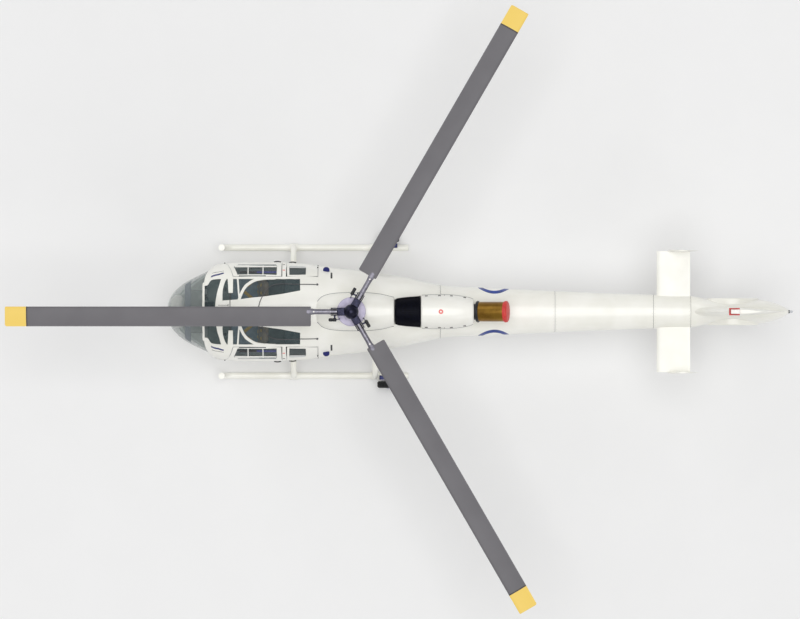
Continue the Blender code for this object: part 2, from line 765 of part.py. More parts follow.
# Fin, duct and tailplane
POD_SECTIONS = (
    (BOOM_END + TOUCH, 1.130, 1.600, 0.240), (5.26, 1.085, 1.640, 0.226), (5.36, 1.005, 1.690, 0.205),
    (5.50, 0.915, 1.745, 0.190), (5.65, 0.858, 1.780, 0.184), (5.81, 0.838, 1.795, 0.183),
    (6.00, 0.862, 1.800, 0.184), (6.20, 0.960, 1.800, 0.180), (6.36, 1.085, 1.790, 0.155),
    (6.50, 1.230, 1.760, 0.114), (6.60, 1.370, 1.700, 0.068), (6.65, 1.470, 1.630, 0.030),
)
# The fin above it, as (height, leading edge, trailing edge, half thickness)
FIN_SECTIONS = (
    (1.55, 5.19, 6.60, 0.110), (1.75, 5.285, 6.585, 0.078), (1.95, 5.36, 6.545, 0.061),
    (3.02, 5.69, 6.275, 0.042), (3.09, 5.715, 6.262, 0.040), (3.125, 5.745, 6.21, 0.030),
)
AEROFOIL = ((0.0, 0.0), (0.015, 0.34), (0.06, 0.64), (0.15, 0.90), (0.30, 1.0), (0.50, 0.86),
            (0.72, 0.54), (0.90, 0.22))


def aerofoil_ring(chord, half_thickness, back=0.04):
    """Points (distance from the leading edge, offset) round a symmetrical section with a blunt back."""
    upper = [(share * chord, rise * half_thickness) for share, rise in AEROFOIL[1:]]
    upper.append((chord, back * half_thickness))
    lower = [(along, -offset) for along, offset in reversed(upper)]
    return [(0.0, 0.0), *upper, *lower]


def make_pod(name, grown=0.0):
    bm = bmesh.new()
    turns = [2 * pi * (i + 0.5) / 20 for i in range(20)]
    rings = []
    for x, low, high, half in POD_SECTIONS:
        middle = (low + high) / 2
        ring = []
        for turn in turns:
            y, z = superellipse(turn, 2.2)
            ring.append(Vector((x, y * (half + grown), middle + z * ((high - low) / 2 + grown))))
        rings.append(ring)
    add_loft(bm, rings, end=Vector((6.664, 0, 1.55)))
    return make_object(name, bm)


def make_fin():
    fin = make_pod("tail_fin")
    join(fin, make_upper_fin(), make_duct_ring())
    wall = DUCT_HALF_WIDTH + 0.1
    return cut(fin, rod("duct", (DUCT_X, -wall, DUCT_Z), (DUCT_X, wall, DUCT_Z), DUCT_RADIUS, 32))


def make_upper_fin():
    return upright_foil("upper fin", FIN_SECTIONS, 0.0)


def upright_foil(name, sections, y):
    """A fin built up from level sections of (height, leading edge, trailing edge, half thickness)."""
    bm = bmesh.new()
    rings = []
    for z, front, back, half in sections:
        ring = aerofoil_ring(back - front, half)
        rings.append([Vector((front + along, y + offset, z)) for along, offset in ring])
    add_loft(bm, rings)
    return make_object(name, bm)


def make_duct_ring():
    """The round mouth on each side of the duct, proud of the fin."""
    half = DUCT_HALF_WIDTH
    return turned("duct ring", [
        (DUCT_RADIUS - 0.02, -half), (DUCT_LIP_RADIUS - 0.012, -half), (DUCT_LIP_RADIUS, -half + 0.010),
        (DUCT_LIP_RADIUS, half - 0.010), (DUCT_LIP_RADIUS - 0.012, half), (DUCT_RADIUS - 0.02, half),
    ], "Y", 32, (DUCT_X, 0, DUCT_Z))


TAILPLANE_X = (4.652, 5.160)
TAILPLANE_Z = 1.43
TAILPLANE_HALF_SPAN = 0.912
TAILPLANE_HALF_THICKNESS = 0.030
ENDPLATE_Y = 0.929
ENDPLATE_SECTIONS = (
    (1.12, 4.925, 5.100, 0.008), (1.17, 4.865, 5.205, 0.014), (1.26, 4.825, 5.265, 0.018),
    (1.43, 4.815, 5.300, 0.020), (1.60, 4.850, 5.250, 0.018), (1.74, 4.925, 5.185, 0.013),
    (1.80, 4.985, 5.120, 0.008),
)


def make_tailplane(name, side):
    """One half of the tailplane, with its end plate."""
    bm = bmesh.new()
    front, back = TAILPLANE_X
    rings = []
    for y in (0.10, TAILPLANE_HALF_SPAN + 0.01):
        ring = aerofoil_ring(back - front, TAILPLANE_HALF_THICKNESS, 0.12)
        rings.append([Vector((front + along, side * y, TAILPLANE_Z + rise)) for along, rise in ring])
    add_loft(bm, rings)
    half = make_object(name, bm)
    join(half, upright_foil("end plate", ENDPLATE_SECTIONS, side * ENDPLATE_Y))
    return cut(half, hull_solid("boom side", 3.4, BOOM_END, -CUT_GAP))


# Tail rotor
FAN_Y = 0.045
FAN_BLADE_CHORD = 0.058
FAN_BLADE_PITCH = radians(22)


def make_fan():
    fan = turned("tail_rotor", [
        (0, FAN_Y - 0.045), (FAN_HUB_RADIUS - 0.01, FAN_Y - 0.045), (FAN_HUB_RADIUS, FAN_Y - 0.03),
        (FAN_HUB_RADIUS, FAN_Y + 0.03), (FAN_HUB_RADIUS - 0.02, FAN_Y + 0.055), (0, FAN_Y + 0.075),
    ], "Y", 26, (DUCT_X, 0, DUCT_Z))
    bm = bmesh.new()
    for k in range(FAN_BLADES):
        add_fan_blade(bm, 2 * pi * k / FAN_BLADES)
    return join(fan, make_object("fan blades", bm))


def add_fan_blade(bm, turn):
    frame = Matrix.Translation((DUCT_X, 0, DUCT_Z)) @ Matrix.Rotation(turn, 4, "Y")
    rings = []
    for radius, chord in ((FAN_HUB_RADIUS - 0.007, 0.75 * FAN_BLADE_CHORD), (FAN_RADIUS, FAN_BLADE_CHORD)):
        ring = []
        for along, rise in ((-0.5, 0), (-0.2, 0.07), (0.5, 0), (-0.1, -0.045)):
            tangent, axial = along * chord, rise * chord
            sideways = tangent * cos(FAN_BLADE_PITCH) - axial * sin(FAN_BLADE_PITCH)
            outwards = tangent * sin(FAN_BLADE_PITCH) + axial * cos(FAN_BLADE_PITCH)
            ring.append(frame @ Vector((radius, FAN_Y + outwards, sideways)))
        rings.append(ring)
    add_loft(bm, rings)


def make_tail_gearbox():
    """The gearbox behind the fan, on three arms that reach the duct."""
    low, high = -0.115, FAN_Y - 0.051
    gearbox = turned("tail_gearbox", [
        (0, low - 0.03), (0.055, low - 0.022), (0.085, low), (0.085, high), (0, high),
    ], "Y", 20, (DUCT_X, 0, DUCT_Z))
    middle = (low + high) / 2 - 0.01
    for turn, thickness in ((pi, 0.034), (pi / 3, 0.017), (-pi / 3, 0.017)):
        out = Vector((cos(turn), 0, sin(turn)))
        start = Vector((DUCT_X, middle, DUCT_Z)) + out * 0.05
        end = Vector((DUCT_X, middle, DUCT_Z)) + out * (DUCT_RADIUS - 0.0045)
        join(gearbox, rod("arm", start, end, thickness, 8))
    return gearbox


# Main rotor, shaped along +X and then turned to each blade's place
def make_hub():
    hub = turned("rotor_hub", [
        (0, -0.085), (0.07, -0.085), (0.095, -0.065), (0.098, -0.02), (HUB_RADIUS, 0.0),
        *[(HUB_RADIUS * cos(t), 0.007 + HUB_RADIUS * sin(t)) for t in spaced(0.25, pi / 2 - 0.25, 4)],
        (0.028, 0.007 + HUB_RADIUS), (0, 0.007 + HUB_RADIUS),
    ], sides=24)
    for angle in BLADE_ANGLES:
        for piece in hub_arm():
            piece.data.transform(Matrix.Rotation(radians(angle), 4, "Z"))
            join(hub, piece)
    hub.data.transform(Matrix.Translation((0, 0, HUB_Z)))
    return hub


def hub_arm():
    """A fork for one blade, with the pitch horn that stands off its trailing side."""
    fork = block("fork", (0.04, -0.060, -0.043), (FORK_REACH, 0.060, 0.043))
    cut(fork, block("slot", (0.205, -0.0435, -0.1), (0.4, 0.0435, 0.1)))
    arm = block("horn arm", (0.236, 0.050, -0.016), (0.262, 0.125, 0.004))
    horn = rod("horn", (0.222, 0.124, 0.0), (0.324, 0.124, 0.0), 0.021, 10)
    return fork, arm, horn


def blade_drop(radius):
    share = max(radius - BLADE_ROOT, 0.0) / (ROTOR_RADIUS - BLADE_ROOT)
    return -BLADE_DROOP * share * share


def make_blade():
    """One blade and the round spindle that carries it."""
    bm = bmesh.new()
    rings = []
    for radius in (BLADE_ROOT, 1.8, 3.0, 4.2, ROTOR_RADIUS):
        ring = []
        for along, rise in aerofoil_ring(BLADE_CHORD, BLADE_THICKNESS / 2, 0.10):
            y = along - BLADE_CHORD * 0.26
            ring.append(Vector((
                radius, y * cos(BLADE_INCIDENCE) + rise * sin(BLADE_INCIDENCE),
                blade_drop(radius) + rise * cos(BLADE_INCIDENCE) - y * sin(BLADE_INCIDENCE),
            )))
        rings.append(ring)
    add_loft(bm, rings)
    blade = make_object("blade_1", bm)
    bm = bmesh.new()
    rings = []
    for radius, wide, tall in ((0.215, 0.040, 0.040), (0.53, 0.040, 0.040), (0.60, 0.048, 0.030),
                               (0.72, 0.060, 0.012)):
        ring = [
            Vector((radius, wide * cos(2 * pi * i / 12), tall * sin(2 * pi * i / 12)))
            for i in range(12)
        ]
        rings.append(ring)
    add_loft(bm, rings)
    return join(blade, make_object("spindle", bm))


def make_mast():
    """The turning mast with its swashplate and the links up to the pitch horns."""
    low = 2.378 - HUB_Z
    plate = SWASHPLATE_Z - HUB_Z
    mast = turned("rotor_mast", [
        (0, low), (0.045, low), (0.045, plate - 0.02), (0.13, plate - 0.016),
        (SWASHPLATE_RADIUS - 0.01, plate - 0.014), (SWASHPLATE_RADIUS, plate - 0.006),
        (SWASHPLATE_RADIUS, plate + 0.008), (SWASHPLATE_RADIUS - 0.012, plate + 0.014),
        (0.085, plate + 0.020), (0.050, plate + 0.05), (0.050, -0.085 - TOUCH), (0, -0.085 - TOUCH),
    ], sides=24)
    for angle in BLADE_ANGLES:
        link = rod("link", (0.176, 0.112, plate), (0.242, 0.124, -0.0250), 0.009, 8)
        link.data.transform(Matrix.Rotation(radians(angle), 4, "Z"))
        join(mast, link)
    mast.data.transform(Matrix.Translation((0, 0, HUB_Z)))
    return mast


# Landing gear
def make_skid(name, side):
    bend = 0.19
    front = arc_points((SKID_TIP_X + bend, SKID_Z + bend), bend, -pi / 2, -pi, 6)
    path = [(SKID_END_X, SKID_Z), (0.0, SKID_Z), *front, (SKID_TIP_X, SKID_Z + bend + 0.10)]
    return bent_tube(name, [(x, side * SKID_Y, z) for x, z in path], SKID_RADIUS, SKID_SIDES, 0.5)


def make_cross_tube(name, x):
    """A bent tube under the belly, with a saddle on each skid."""
    belly = hull_bottom(x) - 0.001 - CROSS_TUBE_RADIUS
    foot = SKID_Z
    bend = 0.22
    half = arc_points((SKID_Y - bend, belly - bend), bend, 0, pi / 2, 5)
    right = [(SKID_Y, foot), *half]
    path = right + [(-y, z) for y, z in reversed(right)]
    tube = bent_tube(name, [(x, y, z) for y, z in path], CROSS_TUBE_RADIUS, 10)
    for side in (1, -1):
        ends = [(x + reach, side * SKID_Y, SKID_Z) for reach in (-0.2, 0.2)]
        cut(tube, rod("skid", *ends, SKID_RADIUS + TOUCH, 24))
        join(tube, saddle(x, side))
    return tube


def saddle(x, side):
    """A half sleeve that sits on the skid under the cross tube's foot."""
    steps = 5
    inner = (SKID_RADIUS + TOUCH) / cos(radians(82) / steps)
    ring = arc_points((0, SKID_Z), SKID_RADIUS + 0.012, radians(8), radians(172), steps)
    ring += arc_points((0, SKID_Z), inner, radians(172), radians(8), steps)
    bm = bmesh.new()
    add_loft(bm, [[Vector((x + end, side * SKID_Y + y, z)) for y, z in ring] for end in (-0.065, 0.065)])
    return make_object("saddle", bm)


def make_wheel_bracket(name, side):
    """A clamp on the skid with a plate and the axle that the handling wheel turns on."""
    bracket = block(name, (0.425, SKID_Y - 0.005, 2 * SKID_RADIUS + TOUCH), (0.70, 1.050, 0.130), 0.004)
    plate = [(0.44, 0.035), (0.68, 0.035), (0.68, 0.15), (0.61, 0.255), (0.51, 0.255), (0.44, 0.15)]
    join(bracket, side_prism("plate", rounded(plate, 0.03), 1.036, 1.050))
    join(bracket, rod("axle", (WHEEL_X, 1.040, WHEEL_Z), (WHEEL_X, 1.188, WHEEL_Z), 0.014, 16))
    bracket.data.transform(Matrix.Diagonal((1, side, 1, 1)))
    return flip_if(bracket, side)


def flip_if(item, side):
    """Turns the faces round again after a mirror."""
    if side < 0:
        item.data.flip_normals()
    return item


def make_tyre(name, side):
    low, high = TYRE_Y
    shoulder = WHEEL_RADIUS - 0.025
    tyre = turned(name, [
        (RIM_RADIUS, low + 0.014), (RIM_RADIUS + 0.030, low), (shoulder, low),
        (WHEEL_RADIUS, low + 0.030), (WHEEL_RADIUS, high - 0.030), (shoulder, high),
        (RIM_RADIUS + 0.030, high), (RIM_RADIUS, high - 0.014),
    ], "Y", 20, (WHEEL_X, 0, WHEEL_Z))
    tyre.data.transform(Matrix.Diagonal((1, side, 1, 1)))
    return flip_if(tyre, side)


def make_rim(name, side):
    low, high = TYRE_Y
    edge = RIM_RADIUS - TOUCH
    rim = turned(name, [
        (0.0155, low - 0.006), (0.036, low - 0.006), (0.036, low + 0.030),
        (edge, low + 0.018), (edge, high - 0.018), (0.036, high - 0.030),
        (0.036, high + 0.006), (0.0155, high + 0.006),
    ], "Y", 20, (WHEEL_X, 0, WHEEL_Z))
    rim.data.transform(Matrix.Diagonal((1, side, 1, 1)))
    return flip_if(rim, side)


# Cabin furniture
SEAT_Y = 0.345
SEAT_HALF_WIDTH = 0.215


def make_seat(name, side):
    """A bucket seat: box base, cushion and a reclined back with a headrest."""
    low, high = side * SEAT_Y - SEAT_HALF_WIDTH, side * SEAT_Y + SEAT_HALF_WIDTH
    seat = block(name, (-1.80, low + 0.02, FLOOR_Z + TOUCH), (-1.40, high - 0.02, 0.900), 0.012)
    join(seat, block("cushion", (-1.86, low, 0.890), (-1.36, high, 0.990), 0.03))
    back = block("back", (-0.05, low, 0.0), (0.05, high, 0.54), 0.03)
    back.data.transform(Matrix.Translation((-1.40, 0, 0.91)) @ Matrix.Rotation(radians(9), 4, "Y"))
    head = block("headrest", (-0.04, side * SEAT_Y - 0.12, 0.50), (0.04, side * SEAT_Y + 0.12, 0.67), 0.03)
    head.data.transform(Matrix.Translation((-1.40, 0, 0.91)) @ Matrix.Rotation(radians(9), 4, "Y"))
    return join(seat, back, head)


def make_bench():
    bench = block("rear_bench", (-1.02, -0.56, FLOOR_Z + TOUCH), (-0.56, 0.56, 0.885), 0.012)
    join(bench, block("cushion", (-1.05, -0.58, 0.875), (-0.60, 0.58, 0.985), 0.03))
    back = block("back", (-0.045, -0.54, 0.0), (0.045, 0.54, 0.50), 0.03)
    back.data.transform(Matrix.Translation((-0.645, 0, 0.90)) @ Matrix.Rotation(radians(6), 4, "Y"))
    return join(bench, back)


def make_instrument_panel():
    """A coaming across the nose, the instrument box behind it and the pedestal on the floor."""
    panel = block("instrument_panel", (-2.475, -0.33, 0.985), (-2.265, 0.33, 1.190), 0.012)
    join(panel, block("coaming", (-2.545, -0.490, 1.150), (-2.440, 0.490, 1.215), 0.012))
    side = [(-2.52, FLOOR_Z + TOUCH), (-2.12, FLOOR_Z + TOUCH), (-2.10, 0.86), (-2.25, 1.02), (-2.52, 1.02)]
    join(panel, side_prism("pedestal", side, -0.145, 0.145))
    return keep_inside(panel, hull_solid("inside", NOSE_X, HULL_STATIONS[11], WALL + 0.002))


def make_cyclics():
    """Both control sticks on their common tube along the floor."""
    tube_z = FLOOR_Z + 0.022
    sticks = rod("cyclic_sticks", (-1.98, -0.37, tube_z), (-1.98, 0.37, tube_z), 0.020, 12)
    for y in (-SEAT_Y, SEAT_Y):
        path = [(-1.98, tube_z), (-2.02, 0.86), (-2.01, 1.02), (-1.955, 1.13), (-1.93, 1.23)]
        join(sticks, bent_tube("stick", [(x, y, z) for x, z in path], 0.014, 6))
        join(sticks, rod("grip", (-1.942, y, 1.19), (-1.915, y, 1.30), 0.022, 8))
    return sticks


def make_collectives():
    """Both collective levers on their common tube, left of each seat."""
    tube_z = FLOOR_Z + 0.022
    start = -1.335
    levers = rod("collective_levers", (start, -0.60, tube_z), (start, 0.12, tube_z), 0.018, 12)
    for y in (-SEAT_Y - SEAT_HALF_WIDTH - 0.032, SEAT_Y - SEAT_HALF_WIDTH - 0.040):
        join(levers, rod("lever", (start, y, tube_z), (-1.80, y, 0.985), 0.012, 10))
        join(levers, rod("grip", (-1.76, y, 0.963), (-1.90, y, 1.042), 0.020, 10))
    return levers


def make_pedals():
    """Two pairs of pedals on a cross shaft in front of the crew's feet."""
    shaft = (-2.19, FLOOR_Z + 0.020)
    pedals = rod("rudder_pedals", (shaft[0], 0.17, shaft[1]), (shaft[0], 0.42, shaft[1]), 0.016, 8)
    for y in (0.22, 0.39):
        join(pedals, rod("arm", (shaft[0], y, shaft[1]), (-2.225, y, 0.86), 0.009, 6))
        join(pedals, block("pad", (-2.245, y - 0.045, 0.835), (-2.215, y + 0.045, 0.925)))
    return pedals


# Small fittings on the tail
def make_tail_bumper():
    """A bent guard under the duct."""
    path = [(5.50, 0.96), (5.52, 0.76), (5.60, 0.69), (5.76, 0.665), (6.02, 0.665), (6.14, 0.70),
            (6.20, 0.78), (6.215, 1.00)]
    guard = bent_tube("tail_bumper", [(x, 0, z) for x, z in path], 0.014, 8)
    join(guard, rod("stay", (5.86, 0, 0.665), (5.86, 0, 0.86), 0.011, 8))
    return cut(guard, make_pod("pod", TOUCH))


def main():
    clear_scene()
    airframe = axis_empty("airframe", (MAST_X, 0, 0))

    place(white(make_tub()), airframe)
    place(white(make_frame()), airframe)
    for name, side in (("starboard", 1), ("port", -1)):
        for glass in (make_bubble(f"nose_glass_{name}", side), make_roof_glass(f"roof_glass_{name}", side)):
            place(colour(glass, "tinted acrylic", GLASS_TINT, 0.05, 0.0, 0.4), airframe)
        x, y, z = FRONT_HINGE
        front = axis_empty(f"front_door_hinge_{name}", (x, side * y, z), airframe)
        x, y, z = REAR_HINGE
        rear = axis_empty(f"rear_door_hinge_{name}", (x, side * y, z), airframe)
        place(white(make_door(f"front_door_{name}", side, FRONT_DOOR, FRONT_WINDOW)), front)
        place(white(make_door(f"rear_door_{name}", side, REAR_DOOR, REAR_WINDOW)), rear)
        panes = (
            (make_door_glass(f"front_door_glass_{name}", side, FRONT_WINDOW), front),
            (make_door_glass(f"rear_door_glass_{name}", side, REAR_WINDOW), rear),
        )
        for pane, hinge in panes:
            place(colour(pane, "tinted acrylic", GLASS_TINT, 0.05, 0.0, 0.4), hinge)

    place(white(make_centre_fuselage()), airframe)
    place(white(make_tail_boom()), airframe)
    place(white(make_fin()), airframe)
    place(white(make_mast_fairing()), airframe)
    place(white(make_cowling()), airframe)
    place(colour(make_intake(), "black mesh", BLACK, 0.6), airframe)
    place(colour(make_engine(), "engine steel", STEEL, 0.5, 0.9), airframe)
    place(colour(make_gearbox(), "engine steel", STEEL, 0.5, 0.9), airframe)
    place(colour(make_exhaust(), "heat stained steel", BRONZE, 0.35, 0.9), airframe)
    place(colour(make_exhaust_cover(), "red cover", RED, 0.5), airframe)
    for name, side in (("starboard", 1), ("port", -1)):
        place(white(make_tailplane(f"tailplane_{name}", side)), airframe)
        place(white(make_skid(f"skid_{name}", side)), airframe)
        bracket = make_wheel_bracket(f"wheel_bracket_{name}", side)
        place(colour(bracket, "blue clamp", CLAMP_BLUE, 0.4, 0.3), airframe)
        axle = axis_empty(f"wheel_axle_{name}", (WHEEL_X, side * sum(TYRE_Y) / 2, WHEEL_Z), airframe)
        place(colour(make_tyre(f"tyre_{name}", side), "tyre rubber", BLACK, 0.85), axle)
        place(colour(make_rim(f"wheel_rim_{name}", side), "steel rim", STEEL, 0.4, 0.8), axle)
        place(colour(make_seat(f"seat_{name}", side), "seat leather", SEAT_BROWN, 0.6), airframe)
    for name, x in zip(("front", "rear"), CROSS_TUBE_X):
        place(white(make_cross_tube(f"cross_tube_{name}", x)), airframe)
    place(colour(make_bench(), "bench cloth", SEAT_DARK, 0.8), airframe)
    place(colour(make_instrument_panel(), "panel black", FLOOR_GREEN, 0.7), airframe)
    for item in (make_cyclics(), make_collectives(), make_pedals()):
        place(colour(item, "control black", BLACK, 0.5), airframe)

    duct = axis_empty("tail_rotor_axis", (DUCT_X, 0, DUCT_Z), airframe)
    place(colour(make_fan(), "fan alloy", STEEL, 0.35, 0.9), duct)
    place(colour(make_tail_gearbox(), "grey casting", STEEL, 0.5, 0.6), airframe)
    place(colour(make_tail_bumper(), "steel guard", STEEL, 0.4, 0.8), airframe)
    light = turned("tail_light", [
        (0, 0.0), (0.020, 0.0), (0.020, 0.030), (0.016, 0.048), (0.009, 0.060), (0, TAIL_LIGHT_X - 6.6665),
    ], "X", 12, (6.6665, 0, 1.55))
    place(colour(light, "clear lamp", (0.8, 0.8, 0.8), 0.1), airframe)
    beacon = turned("beacon", [
        (0, 3.1262), (0.052, 3.1262), (0.052, 3.150), (0.045, 3.175), (0.028, 3.192), (0, 3.197),
    ], sides=16, at=(5.800, 0, 0))
    place(colour(beacon, "red lamp", RED, 0.1), airframe)

    rotor = axis_empty("main_rotor_axis", (0, 0, HUB_Z), airframe)
    place(colour(make_hub(), "gunmetal", GUNMETAL, 0.35, 0.6), rotor)
    place(colour(make_mast(), "pale alloy", (0.62, 0.60, 0.72), 0.35, 0.5), rotor)
    first = colour(make_blade(), "blade grey", BLADE_GREY, 0.45)
    blades = [first] + [bpy.data.objects.new(f"blade_{n}", first.data) for n in (2, 3)]
    for blade, angle in zip(blades, BLADE_ANGLES):
        if blade is not first:
            bpy.context.scene.collection.objects.link(blade)
        blade.parent = rotor
        blade.rotation_euler.z = radians(angle)
    first.data.shade_smooth()
    first.data.set_sharp_from_angle(angle=radians(35))


main()
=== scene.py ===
"""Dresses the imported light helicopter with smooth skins, glass, cabin fittings, rotor, tail and gear.

Lengths are in metres. Shapes are set out from the rotor mast's own station, as in the source, and
make_piece moves them to the frame's place.
"""

import json
from math import cos, pi, radians, sin, sqrt

import bmesh
import bpy
import numpy as np
from bpy.props import FloatProperty, FloatVectorProperty, PointerProperty
from mathutils import Matrix, Vector


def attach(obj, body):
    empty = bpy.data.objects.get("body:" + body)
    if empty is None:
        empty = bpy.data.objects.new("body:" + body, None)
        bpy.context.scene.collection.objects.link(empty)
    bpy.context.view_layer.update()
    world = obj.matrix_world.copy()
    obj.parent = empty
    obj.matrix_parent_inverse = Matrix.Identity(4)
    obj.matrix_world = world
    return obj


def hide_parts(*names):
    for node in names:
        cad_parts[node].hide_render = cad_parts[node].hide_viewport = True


bl_info = {
    "name": "Light helicopter dressing",
    "version": (1, 0, 0),
    "blender": (4, 5, 0),
    "location": "3D View > Sidebar > Helicopter",
    "description": "Builds the skins, glass, cabin, rotor and gear around the packed frame",
    "category": "Object",
}

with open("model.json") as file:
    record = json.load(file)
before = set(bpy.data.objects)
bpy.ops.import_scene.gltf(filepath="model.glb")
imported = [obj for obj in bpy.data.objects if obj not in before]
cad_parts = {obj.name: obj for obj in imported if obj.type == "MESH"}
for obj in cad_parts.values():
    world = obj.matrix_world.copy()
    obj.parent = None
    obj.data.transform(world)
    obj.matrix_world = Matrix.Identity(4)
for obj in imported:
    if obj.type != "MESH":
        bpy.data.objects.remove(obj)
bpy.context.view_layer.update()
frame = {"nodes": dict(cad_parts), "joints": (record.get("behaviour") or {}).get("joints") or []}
JOINTS = {joint["name"]: joint for joint in frame["joints"]}
MAST = Vector(JOINTS["main_rotor_spin"]["pos_m"])
TO_FRAME = Matrix.Translation((MAST.x, 0, 0))
TO_MAST = TO_FRAME.inverted()
SIDES = (("starboard", 1), ("port", -1))

# The hull's lines, from the mast's station, as in the source
NOSE_X = -2.825
TOP_LINE = (
    (NOSE_X, 1.05), (-2.75, 1.33), (-2.60, 1.55), (-2.40, 1.72), (-2.10, 1.87), (-1.70, 1.975),
    (-1.20, 2.035), (-0.60, 2.045), (0.0, 2.00), (0.7, 1.90), (1.4, 1.80), (2.2, 1.735),
    (3.5, 1.675), (5.17, 1.60),
)
BELLY_LINE = (
    (NOSE_X, 1.05), (-2.75, 0.87), (-2.60, 0.76), (-2.40, 0.66), (-2.10, 0.57), (-1.70, 0.50),
    (-1.20, 0.475), (0.1, 0.475), (0.6, 0.53), (1.1, 0.70), (1.7, 0.93), (2.4, 1.06),
    (3.5, 1.10), (5.17, 1.13),
)
HALF_WIDTH = (
    (NOSE_X, 0.0), (-2.747, 0.265), (-2.626, 0.395), (-2.444, 0.513), (-2.20, 0.628),
    (-2.05, 0.722), (-1.93, 0.737), (-1.656, 0.752), (-1.20, 0.755), (-0.75, 0.735),
    (-0.30, 0.670), (0.30, 0.605), (0.80, 0.525), (1.15, 0.445), (1.50, 0.387), (1.90, 0.369),
    (2.84, 0.326), (3.81, 0.284), (5.17, 0.240),
)
WAIST_LINE = (
    (NOSE_X, 1.05), (-2.3, 1.03), (-1.2, 1.02), (0.2, 1.06), (1.2, 1.24), (2.4, 1.39),
    (5.17, 1.365),
)
ROUNDNESS_ABOVE = ((NOSE_X, 2.1), (-2.2, 2.25), (-1.2, 2.3), (0.4, 2.3), (1.6, 2.15), (5.17, 2.1))
ROUNDNESS_BELOW = ((NOSE_X, 2.1), (-2.2, 2.5), (-1.2, 2.8), (0.4, 2.7), (1.6, 2.15), (5.17, 2.1))
CHORD_SAG = 0.014
GLASS_DEPTH = 0.010
GLASS_THICKNESS = 0.006
NOSE_BAR_X = -2.248
NOSE_BAR_LOW = 1.60


def smooth_line(points):
    """A function through the points, as cubics that never overshoot them."""
    xs, ys = np.array(points, float).T
    steps = np.diff(xs)
    slopes = np.diff(ys) / steps
    tangents = [slopes[0]]
    for before, after, h0, h1 in zip(slopes, slopes[1:], steps, steps[1:]):
        if before * after <= 0:
            tangents.append(0.0)
            continue
        w0 = 2 * h1 + h0
        w1 = h1 + 2 * h0
        tangents.append((w0 + w1) / (w0 / before + w1 / after))
    tangents = np.array([*tangents, slopes[-1]])

    def value(x):
        x = np.clip(x, xs[0], xs[-1])
        i = np.clip(np.searchsorted(xs, x, side="left") - 1, 0, len(steps) - 1)
        t = (x - xs[i]) / steps[i]
        rise = t * t * (3 - 2 * t)
        bend = tangents[i] * t * (1 - t) ** 2 - tangents[i + 1] * t * t * (1 - t)
        return ys[i] * (1 - rise) + ys[i + 1] * rise + steps[i] * bend

    return value


def hull_line(points):
    """The hull's curves are read against the square root of the distance from the nose."""
    line = smooth_line([(sqrt(max(x - NOSE_X, 0.0)), value) for x, value in points])
    return lambda x: line(np.sqrt(np.maximum(np.asarray(x, float) - NOSE_X, 0.0)))


hull_top = hull_line(TOP_LINE)
hull_belly = hull_line(BELLY_LINE)
hull_wide = hull_line(HALF_WIDTH)
hull_waist = hull_line(WAIST_LINE)
round_above = hull_line(ROUNDNESS_ABOVE)
round_below = hull_line(ROUNDNESS_BELOW)


def hull_level(points):
    """0 on the hull's skin and above it inside. Scaling by the distance from the nose keeps it
    even right up to the tip."""
    x, y, z = points.T
    waist = hull_waist(x)
    above = z >= waist
    reach = np.where(above, hull_top(x) - waist, waist - hull_belly(x))
    power = np.where(above, round_above(x), round_below(x))
    across = np.abs(y) / np.maximum(hull_wide(x), 1e-4)
    up = np.abs(z - waist) / np.maximum(reach, 1e-4)
    share = (across**power + up**power) ** (2 / power)
    return np.maximum(x - NOSE_X, 1e-6) * (1 - share)


def hull_depth(points):
    """How deep each point lies under the skin, and the way out of the hull there."""
    step = 0.0004
    slope = np.stack(
        [(hull_level(points - e) - hull_level(points + e)) / (2 * step) for e in np.eye(3) * step],
        axis=1,
    )
    steep = np.maximum(np.linalg.norm(slope, axis=1), 1e-6)
    return hull_level(points) / steep, slope / steep[:, None]


def onto_hull(points, inset=0.0):
    """Points moved square to the skin until they are inset under it."""
    points = np.array(points, float).reshape(-1, 3)
    for _ in range(4):
        depth, outward = hull_depth(points)
        points = points + outward * np.clip(depth - inset, -0.03, 0.03)[:, None]
    return points


def over_plan(x, y):
    """The point of the upper skin over a place seen from above."""
    share = min(abs(y) / float(hull_wide(x)), 1.0)
    power = float(round_above(x))
    rise = (1 - share**power) ** (1 / power) * float(hull_top(x) - hull_waist(x))
    return Vector((x, y, float(hull_waist(x)) + rise))


def beside(x, z, side):
    """The point of the skin at a height, seen from one side."""
    waist = float(hull_waist(x))
    above = z >= waist
    reach = float(hull_top(x)) - waist if above else waist - float(hull_belly(x))
    power = float(round_above(x) if above else round_below(x))
    share = min(abs(z - waist) / reach, 1.0)
    return Vector((x, side * float(hull_wide(x)) * (1 - share**power) ** (1 / power), z))


# Mesh helpers

def make_piece(name, bm, place=TO_FRAME):
    bmesh.ops.recalc_face_normals(bm, faces=bm.faces[:])
    mesh = bpy.data.meshes.new(name)
    bm.to_mesh(mesh)
    bm.free()
    mesh.transform(place)
    return link_mesh(name, mesh)


def link_mesh(name, mesh):
    piece = bpy.data.objects.new(name, mesh)
    bpy.context.scene.collection.objects.link(piece)
    return piece


def smooth(piece, angle=35):
    piece.data.shade_smooth()
    piece.data.set_sharp_from_angle(angle=radians(angle))
    return piece


def dress(piece, body, finish, nodes=()):
    """Gives a finished piece its material and the body that it rides on, and hides the nodes that it stands for."""
    if finish is not None:
        piece.data.materials.clear()
        piece.data.materials.append(finish)
    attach(piece, body)
    if nodes:
        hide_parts(*nodes)
    return piece


def settle(piece):
    """Turns a piece's modifiers into a plain mesh."""
    bpy.context.view_layer.update()
    graph = bpy.context.evaluated_depsgraph_get()
    mesh = bpy.data.meshes.new_from_object(piece.evaluated_get(graph))
    piece.modifiers.clear()
    piece.data = mesh
    return piece


